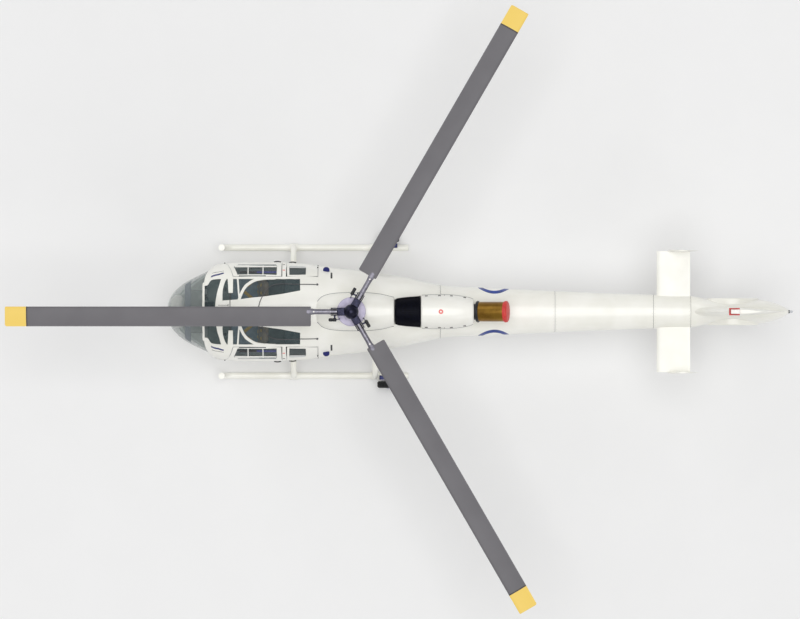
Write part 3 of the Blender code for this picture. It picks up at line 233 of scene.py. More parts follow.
def modify(piece, kind, **settings):
    modifier = piece.modifiers.new(kind.lower(), kind)
    for key, value in settings.items():
        setattr(modifier, key, value)
    return settle(piece)


def combine(target, other, operation):
    modify(target, "BOOLEAN", operation=operation, solver="EXACT", object=other)
    bpy.data.objects.remove(other)
    return target


def joined(name, pieces):
    """Several pieces as one object, with no Boolean. Each keeps its own materials."""
    bm = bmesh.new()
    materials = []
    for piece in pieces:
        first = len(bm.faces)
        bm.from_mesh(piece.data)
        bm.faces.ensure_lookup_table()
        for material in piece.data.materials:
            if material not in materials:
                materials.append(material)
        places = [materials.index(material) for material in piece.data.materials]
        for face in bm.faces[first:]:
            if places:
                face.material_index = places[min(face.material_index, len(places) - 1)]
        bpy.data.objects.remove(piece)
    mesh = bpy.data.meshes.new(name)
    bm.to_mesh(mesh)
    bm.free()
    for material in materials:
        mesh.materials.append(material)
    return link_mesh(name, mesh)


def loft(bm, rings, start="cap", end="cap"):
    """Joins closed rings of points. An end is a cap, open, or a point where it is a vector."""
    rows = [[bm.verts.new(p) for p in ring] for ring in rings]
    count = len(rows[0])
    for row, following in zip(rows, rows[1:]):
        for i in range(count):
            j = (i + 1) % count
            bm.faces.new((row[i], row[j], following[j], following[i]))
    for row, finish in ((rows[0], start), (rows[-1], end)):
        if isinstance(finish, Vector):
            tip = bm.verts.new(finish)
            for i in range(count):
                bm.faces.new((row[i], row[(i + 1) % count], tip))
        elif finish == "cap":
            bm.faces.new(row)
    return rows


def superellipse(angle, power):
    c, s = cos(angle), sin(angle)
    y = abs(c) ** (2 / power) * (1 if c >= 0 else -1)
    z = abs(s) ** (2 / power) * (1 if s >= 0 else -1)
    return y, z


def spaced(start, end, count):
    return [start + (end - start) * i / (count - 1) for i in range(count)]


def turned(name, profile, axis="Z", sides=64, at=(0, 0, 0), place=TO_FRAME):
    """A closed profile of (radius, height) turned round an axis through a point."""
    frames = {
        "Z": Matrix.Identity(3),
        "Y": Matrix(((1, 0, 0), (0, 0, 1), (0, -1, 0))),
        "X": Matrix(((0, 0, 1), (0, 1, 0), (-1, 0, 0))),
    }
    bm = bmesh.new()
    rows = []
    for radius, height in profile:
        turns = [0.0] if radius < 1e-6 else [2 * pi * i / sides for i in range(sides)]
        rows.append([
            bm.verts.new(Vector(at) + frames[axis] @ Vector((radius * cos(t), radius * sin(t), height)))
            for t in turns
        ])
    pairs = list(zip(rows, rows[1:]))
    if len(rows[0]) > 1:
        pairs.append((rows[-1], rows[0]))
    for a, b in pairs:
        for i in range(sides):
            j = (i + 1) % sides
            corners = dict.fromkeys((a[i % len(a)], a[j % len(a)], b[j % len(b)], b[i % len(b)]))
            if len(corners) > 2:
                bm.faces.new(list(corners))
    return make_piece(name, bm, place)


def eased(profile, radius, steps=4):
    """A profile or outline whose inner corners become small arcs. Its two ends stay."""
    made = [profile[0]]
    for before, corner, after in zip(profile, profile[1:], profile[2:]):
        b, c, a = Vector(before), Vector(corner), Vector(after)
        run = min(radius, (b - c).length / 2.1, (a - c).length / 2.1)
        start = c + (b - c).normalized() * run
        finish = c + (a - c).normalized() * run
        for k in range(steps + 1):
            t = k / steps
            made.append(tuple(start * (1 - t) ** 2 + c * 2 * t * (1 - t) + finish * t * t))
    made.append(profile[-1])
    return made


def soft_block(name, low, high, bevel, segments=3, place=TO_FRAME):
    bm = bmesh.new()
    centre = (Vector(low) + Vector(high)) / 2
    size = Vector(high) - Vector(low)
    bmesh.ops.create_cube(bm, size=1, matrix=Matrix.Translation(centre) @ Matrix.Diagonal((*size, 1)))
    bmesh.ops.bevel(
        bm, geom=bm.edges[:], offset=bevel, segments=segments, profile=0.5, affect="EDGES",
    )
    return make_piece(name, bm, place)


def through(points, count):
    """Evenly spread points on a smooth curve through the given ones."""
    points = [Vector(p) for p in points]
    runs = [0.0]
    for a, b in zip(points, points[1:]):
        runs.append(runs[-1] + (b - a).length)
    lines = [smooth_line([(run, p[k]) for run, p in zip(runs, points)]) for k in range(3)]
    return [Vector([float(line(s)) for line in lines]) for s in spaced(0, runs[-1], count)]


def tube(name, path, radius, sides=24, place=TO_FRAME, squash=1.0, up=Vector((0, 0, 1))):
    """A round or flattened tube along points, with a radius for all or for each, and closed ends."""
    path = [Vector(p) for p in path]
    radii = radius if isinstance(radius, (list, tuple)) else [radius] * len(path)
    rings = []
    normal = None
    for i, point in enumerate(path):
        along = (path[min(i + 1, len(path) - 1)] - path[max(i - 1, 0)]).normalized()
        if normal is None:
            guide = up if abs(along.dot(up)) < 0.95 else Vector((1, 0, 0))
            normal = (guide - along * guide.dot(along)).normalized()
        normal = (normal - along * normal.dot(along)).normalized()
        across = along.cross(normal)
        rings.append([
            point + across * radii[i] * cos(2 * pi * k / sides)
            + normal * radii[i] * squash * sin(2 * pi * k / sides)
            for k in range(sides)
        ])
    bm = bmesh.new()
    loft(bm, rings)
    return make_piece(name, bm, place)


def hull_ribbon(name, path, width, lift=0.0012, closed=False, spread=0.03, inset=0.0):
    """A thin strip laid on the skin, or inset under it, along points that lie near it."""
    points = [Vector(p) for p in path]
    if closed:
        points.append(points[0])
    dense = []
    for a, b in zip(points, points[1:]):
        count = max(int((b - a).length / spread), 1)
        dense += [a.lerp(b, k / count) for k in range(count)]
    if not closed:
        dense.append(points[-1])
    base = onto_hull(dense, inset)
    _, outward = hull_depth(base)
    base = [Vector(p) for p in base]
    rings = []
    for i, point in enumerate(base):
        if closed:
            along = base[(i + 1) % len(base)] - base[i - 1]
        else:
            along = base[min(i + 1, len(base) - 1)] - base[max(i - 1, 0)]
        out = Vector(outward[i])
        across = out.cross(along).normalized() * width / 2
        rings.append([
            point - across - out * 0.002, point - across * 0.92 + out * lift,
            point + across * 0.92 + out * lift, point + across - out * 0.002,
        ])
    bm = bmesh.new()
    if closed:
        rows = loft(bm, rings, "open", "open")
        for i in range(4):
            j = (i + 1) % 4
            bm.faces.new((rows[-1][i], rows[-1][j], rows[0][j], rows[0][i]))
    else:
        loft(bm, rings)
    return make_piece(name, bm)


# Geometry Nodes trees for what repeats

def add_socket(tree, name, kind, default=None):
    socket = tree.interface.new_socket(name=name, in_out="INPUT", socket_type=kind)
    if default is not None:
        socket.default_value = default


def add_node(tree, kind, inputs=None, **settings):
    """One node, with its settings, and each input set to a value or linked to a socket."""
    node = tree.nodes.new(kind)
    for key, value in settings.items():
        setattr(node, key, value)
    for key, value in (inputs or {}).items():
        if isinstance(value, bpy.types.NodeSocket):
            tree.links.new(value, node.inputs[key])
        else:
            node.inputs[key].default_value = value
    return node


def wires_tree():
    """Round wire along each line of a mesh: ribs, rails, piping and hoses."""
    tree = bpy.data.node_groups.new("wires along lines", "GeometryNodeTree")
    add_socket(tree, "Geometry", "NodeSocketGeometry")
    add_socket(tree, "Thickness", "NodeSocketFloat", 0.01)
    add_socket(tree, "Sides", "NodeSocketInt", 8)
    add_socket(tree, "Finish", "NodeSocketMaterial")
    tree.interface.new_socket(name="Geometry", in_out="OUTPUT", socket_type="NodeSocketGeometry")
    given = add_node(tree, "NodeGroupInput").outputs
    curve = add_node(tree, "GeometryNodeMeshToCurve", {"Mesh": given["Geometry"]})
    half = add_node(
        tree, "ShaderNodeMath", {0: given["Thickness"], 1: 0.5}, operation="MULTIPLY",
    )
    ring = add_node(
        tree, "GeometryNodeCurvePrimitiveCircle",
        {"Resolution": given["Sides"], "Radius": half.outputs[0]},
    )
    swept = add_node(
        tree, "GeometryNodeCurveToMesh",
        {"Curve": curve.outputs[0], "Profile Curve": ring.outputs[0], "Fill Caps": True},
    )
    real = add_node(tree, "GeometryNodeRealizeInstances", {"Geometry": swept.outputs[0]})
    coloured = add_node(
        tree, "GeometryNodeSetMaterial",
        {"Geometry": real.outputs[0], "Material": given["Finish"]},
    )
    add_node(tree, "NodeGroupOutput", {0: coloured.outputs[0]})
    return tree


def copies_tree():
    """Copies of one small shape along each line of a mesh, standing on its up directions."""
    tree = bpy.data.node_groups.new("copies along lines", "GeometryNodeTree")
    add_socket(tree, "Geometry", "NodeSocketGeometry")
    add_socket(tree, "Shape", "NodeSocketObject")
    add_socket(tree, "Spacing", "NodeSocketFloat", 0.05)
    add_socket(tree, "Size", "NodeSocketFloat", 1.0)
    add_socket(tree, "Unevenness", "NodeSocketFloat", 0.0)
    add_socket(tree, "Seed", "NodeSocketInt", 1)
    add_socket(tree, "Finish", "NodeSocketMaterial")
    tree.interface.new_socket(name="Geometry", in_out="OUTPUT", socket_type="NodeSocketGeometry")
    given = add_node(tree, "NodeGroupInput").outputs
    curve = add_node(tree, "GeometryNodeMeshToCurve", {"Mesh": given["Geometry"]})
    points = add_node(
        tree, "GeometryNodeCurveToPoints",
        {"Curve": curve.outputs[0], "Length": given["Spacing"]}, mode="LENGTH",
    )
    up = add_node(
        tree, "GeometryNodeInputNamedAttribute", {"Name": "up"}, data_type="FLOAT_VECTOR",
    )
    along = add_node(
        tree, "FunctionNodeAlignRotationToVector", {"Vector": points.outputs["Tangent"]}, axis="X",
    )
    standing = add_node(
        tree, "FunctionNodeAlignRotationToVector",
        {"Rotation": along.outputs[0], "Vector": up.outputs["Attribute"]},
        axis="Z", pivot_axis="X",
    )
    shape = add_node(tree, "GeometryNodeObjectInfo", {"Object": given["Shape"]})
    chance = add_node(
        tree, "FunctionNodeRandomValue", {"Min": -1.0, "Max": 1.0, "Seed": given["Seed"]},
        data_type="FLOAT",
    )
    uneven = add_node(
        tree, "ShaderNodeMath",
        {0: next(s for s in chance.outputs if s.enabled), 1: given["Unevenness"], 2: 1.0},
        operation="MULTIPLY_ADD",
    )
    size = add_node(
        tree, "ShaderNodeMath", {0: uneven.outputs[0], 1: given["Size"]}, operation="MULTIPLY",
    )
    copies = add_node(tree, "GeometryNodeInstanceOnPoints", {
        "Points": points.outputs["Points"], "Instance": shape.outputs["Geometry"],
        "Rotation": standing.outputs[0], "Scale": size.outputs[0],
    })
    real = add_node(tree, "GeometryNodeRealizeInstances", {"Geometry": copies.outputs[0]})
    coloured = add_node(
        tree, "GeometryNodeSetMaterial",
        {"Geometry": real.outputs[0], "Material": given["Finish"]},
    )
    add_node(tree, "NodeGroupOutput", {0: coloured.outputs[0]})
    return tree


def line_mesh(name, paths, ups=None, closed=False, place=TO_FRAME):
    """Paths as bare edges, each point with the direction that stands up from it."""
    points, edges, directions = [], [], []
    for n, path in enumerate(paths):
        first = len(points)
        points += [tuple(p) for p in path]
        edges += [(first + i, first + i + 1) for i in range(len(path) - 1)]
        if closed:
            edges.append((first + len(path) - 1, first))
        directions += [tuple(d) for d in (ups[n] if ups else [(0, 0, 1)] * len(path))]
    mesh = bpy.data.meshes.new(name)
    mesh.from_pydata(points, edges, [])
    up = mesh.attributes.new("up", "FLOAT_VECTOR", "POINT")
    up.data.foreach_set("vector", [c for d in directions for c in d])
    mesh.transform(place)
    return link_mesh(name, mesh)


def grown(source, tree, **inputs):
    """Runs a tree on a line mesh and leaves the plain result in its place."""
    modifier = source.modifiers.new("tree", "NODES")
    modifier.node_group = tree
    named = {
        item.name.lower(): item.identifier
        for item in tree.interface.items_tree
        if item.in_out == "INPUT"
    }
    for key, value in inputs.items():
        modifier[named[key]] = value
    return smooth(settle(source), 40)


def wires(name, paths, thickness, finish, sides=8, closed=False, place=TO_FRAME):
    lines = line_mesh(name, paths, closed=closed, place=place)
    return grown(lines, wires_tree(), thickness=thickness, sides=sides, finish=finish)


def copies(name, shape, paths, ups, spacing, finish, closed=False, uneven=0.0, place=TO_FRAME):
    """Copies of a small shape along paths. The shape is used up."""
    lines = line_mesh(name, paths, ups, closed, place)
    made = grown(
        lines, copies_tree(), shape=shape, spacing=spacing, unevenness=uneven, finish=finish,
    )
    bpy.data.objects.remove(shape)
    return made


# Skins copied from the frame and smoothed onto the hull's true curve

def skin_marks(bm):
    """Which vertices lie on the outer skin, with the way out at each vertex."""
    bm.verts.ensure_lookup_table()
    bm.verts.index_update()
    places = np.array([v.co for v in bm.verts]) - np.array([MAST.x, 0, 0])
    depth, outward = hull_depth(places)
    marks = np.zeros(len(places), bool)
    for face in bm.faces:
        normal = np.array(face.normal)
        for vertex in face.verts:
            if normal @ outward[vertex.index] > 0.5:
                marks[vertex.index] = True
    return marks & (depth < CHORD_SAG), outward


def fold_in(bm, edge, marks_of):
    """Splits long edges of the skin until it can follow the curve."""
    for _ in range(6):
        marks, _ = marks_of(bm)
        long = [
            e for e in bm.edges
            if e.calc_length() > edge and marks[e.verts[0].index] and marks[e.verts[1].index]
        ]
        if not long:
            return
        bmesh.ops.subdivide_edges(bm, edges=long, cuts=1)
        bmesh.ops.triangulate(bm, faces=[f for f in bm.faces if len(f.verts) > 3])
        bm.normal_update()


def node_mesh(node):
    bm = bmesh.new()
    bm.from_mesh(frame["nodes"][node].data)
    bmesh.ops.remove_doubles(bm, verts=bm.verts[:], dist=0.00004)
    bm.normal_update()
    return bm


def skinned(name, node, outside, inside, edge=0.07):
    """A copy of a hull node whose outer faces lie on the true curve and shade by it."""
    bm = node_mesh(node)
    fold_in(bm, edge, skin_marks)
    marks, outward = skin_marks(bm)
    places = np.array([v.co for v in bm.verts]) - np.array([MAST.x, 0, 0])
    moved = onto_hull(places) + np.array([MAST.x, 0, 0])
    for vertex in bm.verts:
        if marks[vertex.index]:
            vertex.co = moved[vertex.index]
    bm.normal_update()
    depth, outward = hull_depth(np.array([v.co for v in bm.verts]) - np.array([MAST.x, 0, 0]))
    normals = []
    for face in bm.faces:
        corners = [v.index for v in face.verts]
        facing = float(np.array(face.normal) @ outward[corners[0]])
        on_skin = facing > 0.6 and all(marks[i] for i in corners)
        deep = max(depth[i] for i in corners) > 0.02 and not on_skin
        face.material_index = 1 if inside and deep and facing < 0.6 else 0
        normals += [tuple(outward[i]) if on_skin else (0.0, 0.0, 0.0) for i in corners]
    mesh = bpy.data.meshes.new(name)
    bm.to_mesh(mesh)
    bm.free()
    mesh.shade_smooth()
    mesh.set_sharp_from_angle(angle=radians(30))
    mesh.normals_split_custom_set(normals)
    mesh.materials.append(outside)
    if inside:
        mesh.materials.append(inside)
    return link_mesh(name, mesh)


def glazed(name, node, keep=lambda place: True, edge=0.05, splits=()):
    """A pane rebuilt from a glass node's outer faces, on the true curve and with an even wall."""
    bm = node_mesh(node)
    for place, square in splits:
        bmesh.ops.bisect_plane(
            bm, geom=bm.verts[:] + bm.edges[:] + bm.faces[:], plane_co=TO_FRAME @ Vector(place),
            plane_no=square,
        )
    bm.verts.index_update()
    _, outward = hull_depth(np.array([v.co for v in bm.verts]) - np.array([MAST.x, 0, 0]))
    inner = []
    for face in bm.faces:
        facing = float(np.array(face.normal) @ outward[face.verts[0].index])
        if facing < 0.5 or not keep(TO_MAST @ face.calc_center_median()):
            inner.append(face)
    bmesh.ops.delete(bm, geom=inner, context="FACES")
    fold_in(bm, edge, lambda mesh: (
        mesh.verts.index_update(), (np.ones(len(mesh.verts), bool), None))[1])
    bm.verts.index_update()
    places = np.array([v.co for v in bm.verts]) - np.array([MAST.x, 0, 0])
    moved = onto_hull(places, GLASS_DEPTH) + np.array([MAST.x, 0, 0])
    for vertex in bm.verts:
        vertex.co = moved[vertex.index]
    mesh = bpy.data.meshes.new(name)
    bm.to_mesh(mesh)
    bm.free()
    pane = link_mesh(name, mesh)
    modify(pane, "SOLIDIFY", thickness=GLASS_THICKNESS, offset=-1.0)
    # The inner wall's points follow the outer ones in the same order
    for index, place in enumerate(onto_hull(places, GLASS_DEPTH + GLASS_THICKNESS), len(places)):
        pane.data.vertices[index].co = TO_FRAME @ Vector(place)
    return smooth(pane, 40)


# Finishes

def linear(code, alpha=1.0):
    """An sRGB hex colour as the linear one that a shader takes."""
    shares = [int(code[i:i + 2], 16) / 255 for i in (0, 2, 4)]
    return (*[s / 12.92 if s <= 0.04045 else ((s + 0.055) / 1.055) ** 2.4 for s in shares], alpha)


def finish(name, low, high, rough, patch_mm=150, grain_mm=3.0, relief_mm=0.05, relief=0.3, **fixed):
    """A material that drifts between two shades in patches, with a fine grain in gloss and relief.

    Everything in fixed is the same all over, and is set on the shader's own sockets."""
    material = bpy.data.materials.new(name)
    material.use_nodes = True
    tree = material.node_tree
    shader = tree.nodes["Principled BSDF"]
    spot = add_node(tree, "ShaderNodeTexCoord").outputs["Object"]
    patches = add_node(
        tree, "ShaderNodeTexNoise", {"Vector": spot, "Scale": 1000 / patch_mm, "Detail": 4.0},
    )
    spread = add_node(tree, "ShaderNodeMapRange", {
        "Value": patches.outputs[0], "From Min": 0.36, "From Max": 0.64,
    })
    shade = add_node(
        tree, "ShaderNodeMix", {0: spread.outputs[0], 6: linear(low), 7: linear(high)},
        data_type="RGBA",
    )
    grain = add_node(
        tree, "ShaderNodeTexNoise", {"Vector": spot, "Scale": 1000 / grain_mm, "Detail": 3.0},
    )
    gloss = add_node(tree, "ShaderNodeMapRange", {
        "Value": grain.outputs[0], "From Min": 0.3, "From Max": 0.7,
        "To Min": rough[0], "To Max": rough[1],
    })
    bump = add_node(tree, "ShaderNodeBump", {
        "Strength": relief, "Distance": relief_mm / 1000, "Height": grain.outputs[0],
    })
    tree.links.new(shade.outputs[2], shader.inputs["Base Color"])
    tree.links.new(gloss.outputs[0], shader.inputs["Roughness"])
    tree.links.new(bump.outputs[0], shader.inputs["Normal"])
    for key, value in fixed.items():
        shader.inputs[key.replace("_", " ")].default_value = value
    return material


FINISHES = {
    # Two-pack polyurethane over fibreglass: bright and smooth, with a faint orange peel
    "paint": ("gloss white polyurethane paint", "F6F5EC", "FDFCF5", (0.28, 0.38),
              dict(patch_mm=420, grain_mm=12, relief_mm=0.15, Coat_Weight=0.35, Coat_Roughness=0.18)),
    "navy": ("navy coach line film", "1E2567", "2A3274", (0.30, 0.42), dict(patch_mm=90)),
    "blue": ("blue vinyl film", "17357F", "2144A0", (0.32, 0.45), dict(patch_mm=80)),
    "black_film": ("black vinyl film", "0B0B10", "17171D", (0.35, 0.5), dict(patch_mm=60)),
    # Cast acrylic, hard gloss, in a lit and a shaded copy: the nose glass's pale grey-green is partly painted light,
    # and the other panes' dark grey, darker than the cabin behind them, is partly painted shade
    "nose_glass": ("acrylic, grey-green, partly painted light", "A9B3B1", "B5BEBC", (0.03, 0.06),
                   dict(patch_mm=600, relief=0.05, Alpha=0.27, IOR=1.40)),
    "dark_glass": ("acrylic, dark grey, partly painted cabin shade", "5C696E", "667478", (0.03, 0.06),
                   dict(patch_mm=500, relief=0.05, Alpha=0.22, IOR=1.40)),
    "trim": ("dark moulded ABS trim", "2A2F31", "3A4041", (0.5, 0.65),
             dict(patch_mm=60, grain_mm=2.5, relief_mm=0.3)),
    "rubber": ("black door seal rubber", "121214", "1F1F21", (0.6, 0.8), dict(patch_mm=40)),
    "blade": ("grey epoxy blade paint", "646266", "69676B", (0.46, 0.54),
              dict(patch_mm=500, grain_mm=8, relief_mm=0.1)),
    "gunmetal": ("dark anodised forging", "181828", "29293E", (0.26, 0.4),
                 dict(patch_mm=40, Metallic=0.75)),
    "alloy": ("clear anodised aluminium", "ABA5BD", "BEB8CD", (0.38, 0.5),
              dict(patch_mm=60, Metallic=0.2)),
    "steel": ("brushed stainless steel", "77757F", "94929C", (0.34, 0.5),
              dict(patch_mm=50, Metallic=0.9)),
    # Also fills the intake under its bars, where the near-black is partly painted shade of the duct
    "mesh": ("black oxide intake screen and painted duct shade", "03040C", "0A0C1B", (0.5, 0.7),
             dict(patch_mm=30, Specular_IOR_Level=0.12)),
    "engine": ("cast engine steel", "55545A", "77767B", (0.45, 0.6),
               dict(patch_mm=40, relief_mm=0.4, Metallic=0.8)),
    # Thin stainless pipe, straw to bronze where the exhaust has heated it
    "heated": ("heat tinted stainless pipe", "7A5716", "8F6C22", (0.26, 0.36),
               dict(patch_mm=160, grain_mm=6, Metallic=0.7)),
    "red": ("red powder coated cover", "C8332F", "DA3F3A", (0.4, 0.55),
            dict(patch_mm=50, grain_mm=4, relief_mm=0.2)),
    "clamp": ("blue anodised clamp", "161A48", "232A66", (0.3, 0.45),
              dict(patch_mm=30, Metallic=0.4)),
    "tyre": ("carbon black tyre rubber", "111113", "1E1E20", (0.7, 0.9),
             dict(patch_mm=30, grain_mm=4, relief_mm=0.5)),
    "rim": ("silver painted steel rim", "B9BBC0", "D2D4D8", (0.3, 0.45),
            dict(patch_mm=40, Metallic=0.5)),
    "lens_red": ("red lamp lens", "B5080C", "D4181A", (0.08, 0.14),
                 dict(patch_mm=20, relief=0.1, Alpha=0.85, IOR=1.49)),
    "lens_clear": ("clear lamp lens", "C9CDD2", "E2E5E8", (0.05, 0.1),
                   dict(patch_mm=20, relief=0.1, Alpha=0.6, IOR=1.49)),
    # White reflector and paint, also used for painted highlights on the beacon, the oil cap and the blade pins
    "white_and_painted_highlight": ("white reflector and painted highlight", "F2EEE8", "FFFDF8", (0.2, 0.3), dict(patch_mm=20)),
    "handle": ("satin black handle casting", "15161A", "24262B", (0.35, 0.5),
               dict(patch_mm=20, Metallic=0.2)),
    "coaming": ("dark blue-grey glare shield cloth", "3E4560", "4A516C", (0.75, 0.9),
                dict(patch_mm=40, grain_mm=3, relief_mm=0.4)),
    "lining": ("grey moulded cabin lining", "C4CBC8", "D0D6D3", (0.6, 0.75),
               dict(patch_mm=120, grain_mm=3, relief_mm=0.3)),
    "mat": ("green-grey rubber floor mat", "7C8A85", "8B9893", (0.65, 0.8),
            dict(patch_mm=70, grain_mm=6, relief_mm=0.6)),
    "seam": ("dark joint sealant", "4A4A4C", "5C5C5E", (0.5, 0.7), dict(patch_mm=20)),
    "film_dark": ("smoke grey window border film", "3D474B", "485256", (0.2, 0.3), dict(patch_mm=60)),
    "grey_line": ("mid grey coach line film", "8A8C8E", "96989A", (0.35, 0.5), dict(patch_mm=60)),
    # A pale grey band where the skin turns away, outboard of the rear windows: painted shade
    "painted_shade_grey": ("pale grey painted shade", "C9CCCA", "D6D8D6", (0.4, 0.5), dict(patch_mm=60)),
    "paint_rivet": ("painted rivet heads", "D9D8CF", "E6E5DC", (0.3, 0.4), dict(patch_mm=60)),
    "cap_blue": ("blue moulded filler cap", "161C5E", "1F2672", (0.3, 0.45), dict(patch_mm=15)),
    "cap_pink": ("faded red moulded cap", "E8706C", "FA8884", (0.4, 0.5), dict(patch_mm=15)),
    "yellow": ("yellow webbing", "D1AB3E", "E8C45C", (0.6, 0.75), dict(patch_mm=15)),
}


def get_finish(key):
    name, low, high, rough, extra = FINISHES[key]
    return bpy.data.materials.get(name) or finish(name, low, high, rough, **extra)


def blade_finish():
    """Grey blade paint, with a yellow warning band at the tip and a thin dark line inside it."""
    settings = bpy.context.scene.heli_rotor
    material = get_finish("blade").copy()
    material.name = "grey blade paint with yellow tip"
    tree = material.node_tree
    shader = tree.nodes["Principled BSDF"]
    grey = shader.inputs["Base Color"].links[0].from_socket
    spot = add_node(tree, "ShaderNodeTexCoord").outputs["Object"]
    centred = add_node(
        tree, "ShaderNodeVectorMath", {0: spot, 1: (-MAST.x, -MAST.y, 0)}, operation="ADD",
    )
    flat = add_node(
        tree, "ShaderNodeVectorMath", {0: centred.outputs[0], 1: (1, 1, 0)}, operation="MULTIPLY",
    )
    reach = add_node(tree, "ShaderNodeVectorMath", {0: flat.outputs[0]}, operation="LENGTH")
    radius = reach.outputs["Value"]
    start = ROTOR_RADIUS - settings.tip_band
    tip = add_node(tree, "ShaderNodeMath", {0: radius, 1: start}, operation="GREATER_THAN")
    line = add_node(
        tree, "ShaderNodeMath", {0: radius, 1: start - 0.01, 2: 0.01}, operation="COMPARE",
    )
    banded = add_node(
        tree, "ShaderNodeMix", {0: tip.outputs[0], 6: grey, 7: (*settings.tip_colour, 1)},
        data_type="RGBA",
    )
    lined = add_node(
        tree, "ShaderNodeMix", {0: line.outputs[0], 6: banded.outputs[2], 7: linear("3A3538")},
        data_type="RGBA",
    )
    tree.links.new(lined.outputs[2], shader.inputs["Base Color"])
    return material


# Hull skins and glass

HULL_SKINS = (
    ("cabin_tub", "airframe", True), ("cabin_frame", "airframe", True),
    ("centre_fuselage", "airframe", False), ("tail_boom", "airframe", False),
)
DOORS = tuple(
    (f"{which}_door_{name}", which, name, side) for which in ("front", "rear") for name, side in SIDES
)


def make_skins():
    paint, trim = get_finish("paint"), get_finish("lining")
    for node, body, hollow in HULL_SKINS:
        skin = skinned(f"{node}_skin", node, paint, trim if hollow else None)
        dress(skin, body, None, [node])
    for node, *_ in DOORS:
        dress(skinned(f"{node}_skin", node, paint, trim), node, None, [node])


def make_glass():
    nose, dark = get_finish("nose_glass"), get_finish("dark_glass")
    for name, _ in SIDES:
        node = f"nose_glass_{name}"
        # Each nose pane is split at the bar: the lower front part takes the pale glass, partly painted light, and the
        # rest takes the dark glass, partly painted shade
        splits = (((NOSE_BAR_X, 0, 0), (1, 0, 0)), ((0, 0, NOSE_BAR_LOW), (0, 0, 1)))
        bubble = glazed(
            f"{node}_bubble", node, lambda p: p.x < NOSE_BAR_X or p.z < NOSE_BAR_LOW, splits=splits)
        dress(bubble, "airframe", nose, [node])
        screen = glazed(
            f"{node}_screen", node, lambda p: p.x > NOSE_BAR_X and p.z > NOSE_BAR_LOW, splits=splits)
        dress(screen, "airframe", dark)
        node = f"roof_glass_{name}"
        dress(glazed(f"{node}_pane", node), "airframe", dark, [node])
    for door, which, name, _ in DOORS:
        node = f"{which}_door_glass_{name}"
        dress(glazed(f"{node}_pane", node), door, dark, [node])


# Fairings on the deck, as (station, half width, top)
FAIRING_SECTIONS = (
    (-0.53, 0.215, 2.085), (-0.44, 0.268, 2.165), (-0.30, 0.292, 2.245), (-0.10, 0.300, 2.295),
    (0.15, 0.297, 2.305), (0.40, 0.277, 2.295), (0.652, 0.222, 2.270),
)
INTAKE_SECTIONS = ((0.655, 0.190, 2.235), (0.70, 0.208, 2.255), (1.054, 0.245, 2.262))
COWLING_SECTIONS = (
    (1.057, 0.250, 2.270), (1.25, 0.257, 2.278), (1.45, 0.258, 2.270), (1.65, 0.240, 2.245),
    (1.80, 0.210, 2.212), (1.862, 0.188, 2.190),
)
DECK_LOW = 1.70
ARCH_POWER = 2.6
FAIRING_WALL = 0.015
MAST_HOLE = 0.115


def arch_lines(sections):
    wide = smooth_line([(x, w) for x, w, _ in sections])
    tall = smooth_line([(x, top) for x, _, top in sections])
    return wide, tall


def arch_point(lines, x, angle, grow=0.0):
    """A point on an arched fairing. The angle runs from the starboard foot over to the port one."""
    y, z = superellipse(angle, ARCH_POWER)
    wide, tall = lines
    return Vector((
        x, y * (float(wide(x)) + grow), DECK_LOW + z * (float(tall(x)) + grow - DECK_LOW),
    ))


def arch_body(name, sections, grow=0.0, edge=0.012, count=36, points=72, low=None):
    """An arched body on a flat foot, with its two end corners rounded."""
    lines = arch_lines(sections)
    first, last = sections[0][0] - min(grow, 0), sections[-1][0] + min(grow, 0)
    turns = [pi / 2 * k / 4 for k in range(5)]
    stations = [(first + edge * (1 - cos(t)), -edge * (1 - sin(t))) for t in turns]
    stations += [(x, 0.0) for x in spaced(first + edge, last - edge, count)[1:-1]]
    stations += [(last - edge * (1 - cos(t)), -edge * (1 - sin(t))) for t in reversed(turns)]
    bm = bmesh.new()
    rings = []
    for x, inset in stations:
        ring = [arch_point(lines, x, pi * i / (points - 1), grow + inset) for i in range(points)]
        if low is not None:
            ring = [ring[0] + Vector((0, 0, low)), *ring[1:-1], ring[-1] + Vector((0, 0, low))]
        rings.append(ring)
    loft(bm, rings)
    return make_piece(name, bm)


def hull_body(name, start, end, inset, count=50, points=96):
    """The hull between two stations as a fine solid, for cutting what stands on it."""
    places = []
    for x in spaced(start, end, count):
        waist = float(hull_waist(x))
        for i in range(points):
            angle = 2 * pi * i / points
            above = sin(angle) >= 0
            y, z = superellipse(angle, float((round_above if above else round_below)(x)))
            reach = float(hull_top(x)) - waist if above else waist - float(hull_belly(x))
            places.append((x, y * float(hull_wide(x)), waist + z * reach))
    moved = [Vector(p) for p in onto_hull(places, inset)]
    bm = bmesh.new()
    loft(bm, [moved[i:i + points] for i in range(0, len(moved), points)])
    return make_piece(name, bm)


FAIRING_SINK = 0.004
EXHAUST_START = Vector((1.902, 0, 2.018))
EXHAUST_TILT = radians(12)
EXHAUST_LENGTH = 0.445
EXHAUST_RADIUS = 0.150
COVER_RADIUS = 0.163
TO_EXHAUST = TO_FRAME @ Matrix.Translation(EXHAUST_START) @ Matrix.Rotation(
    pi / 2 - EXHAUST_TILT, 4, "Y")


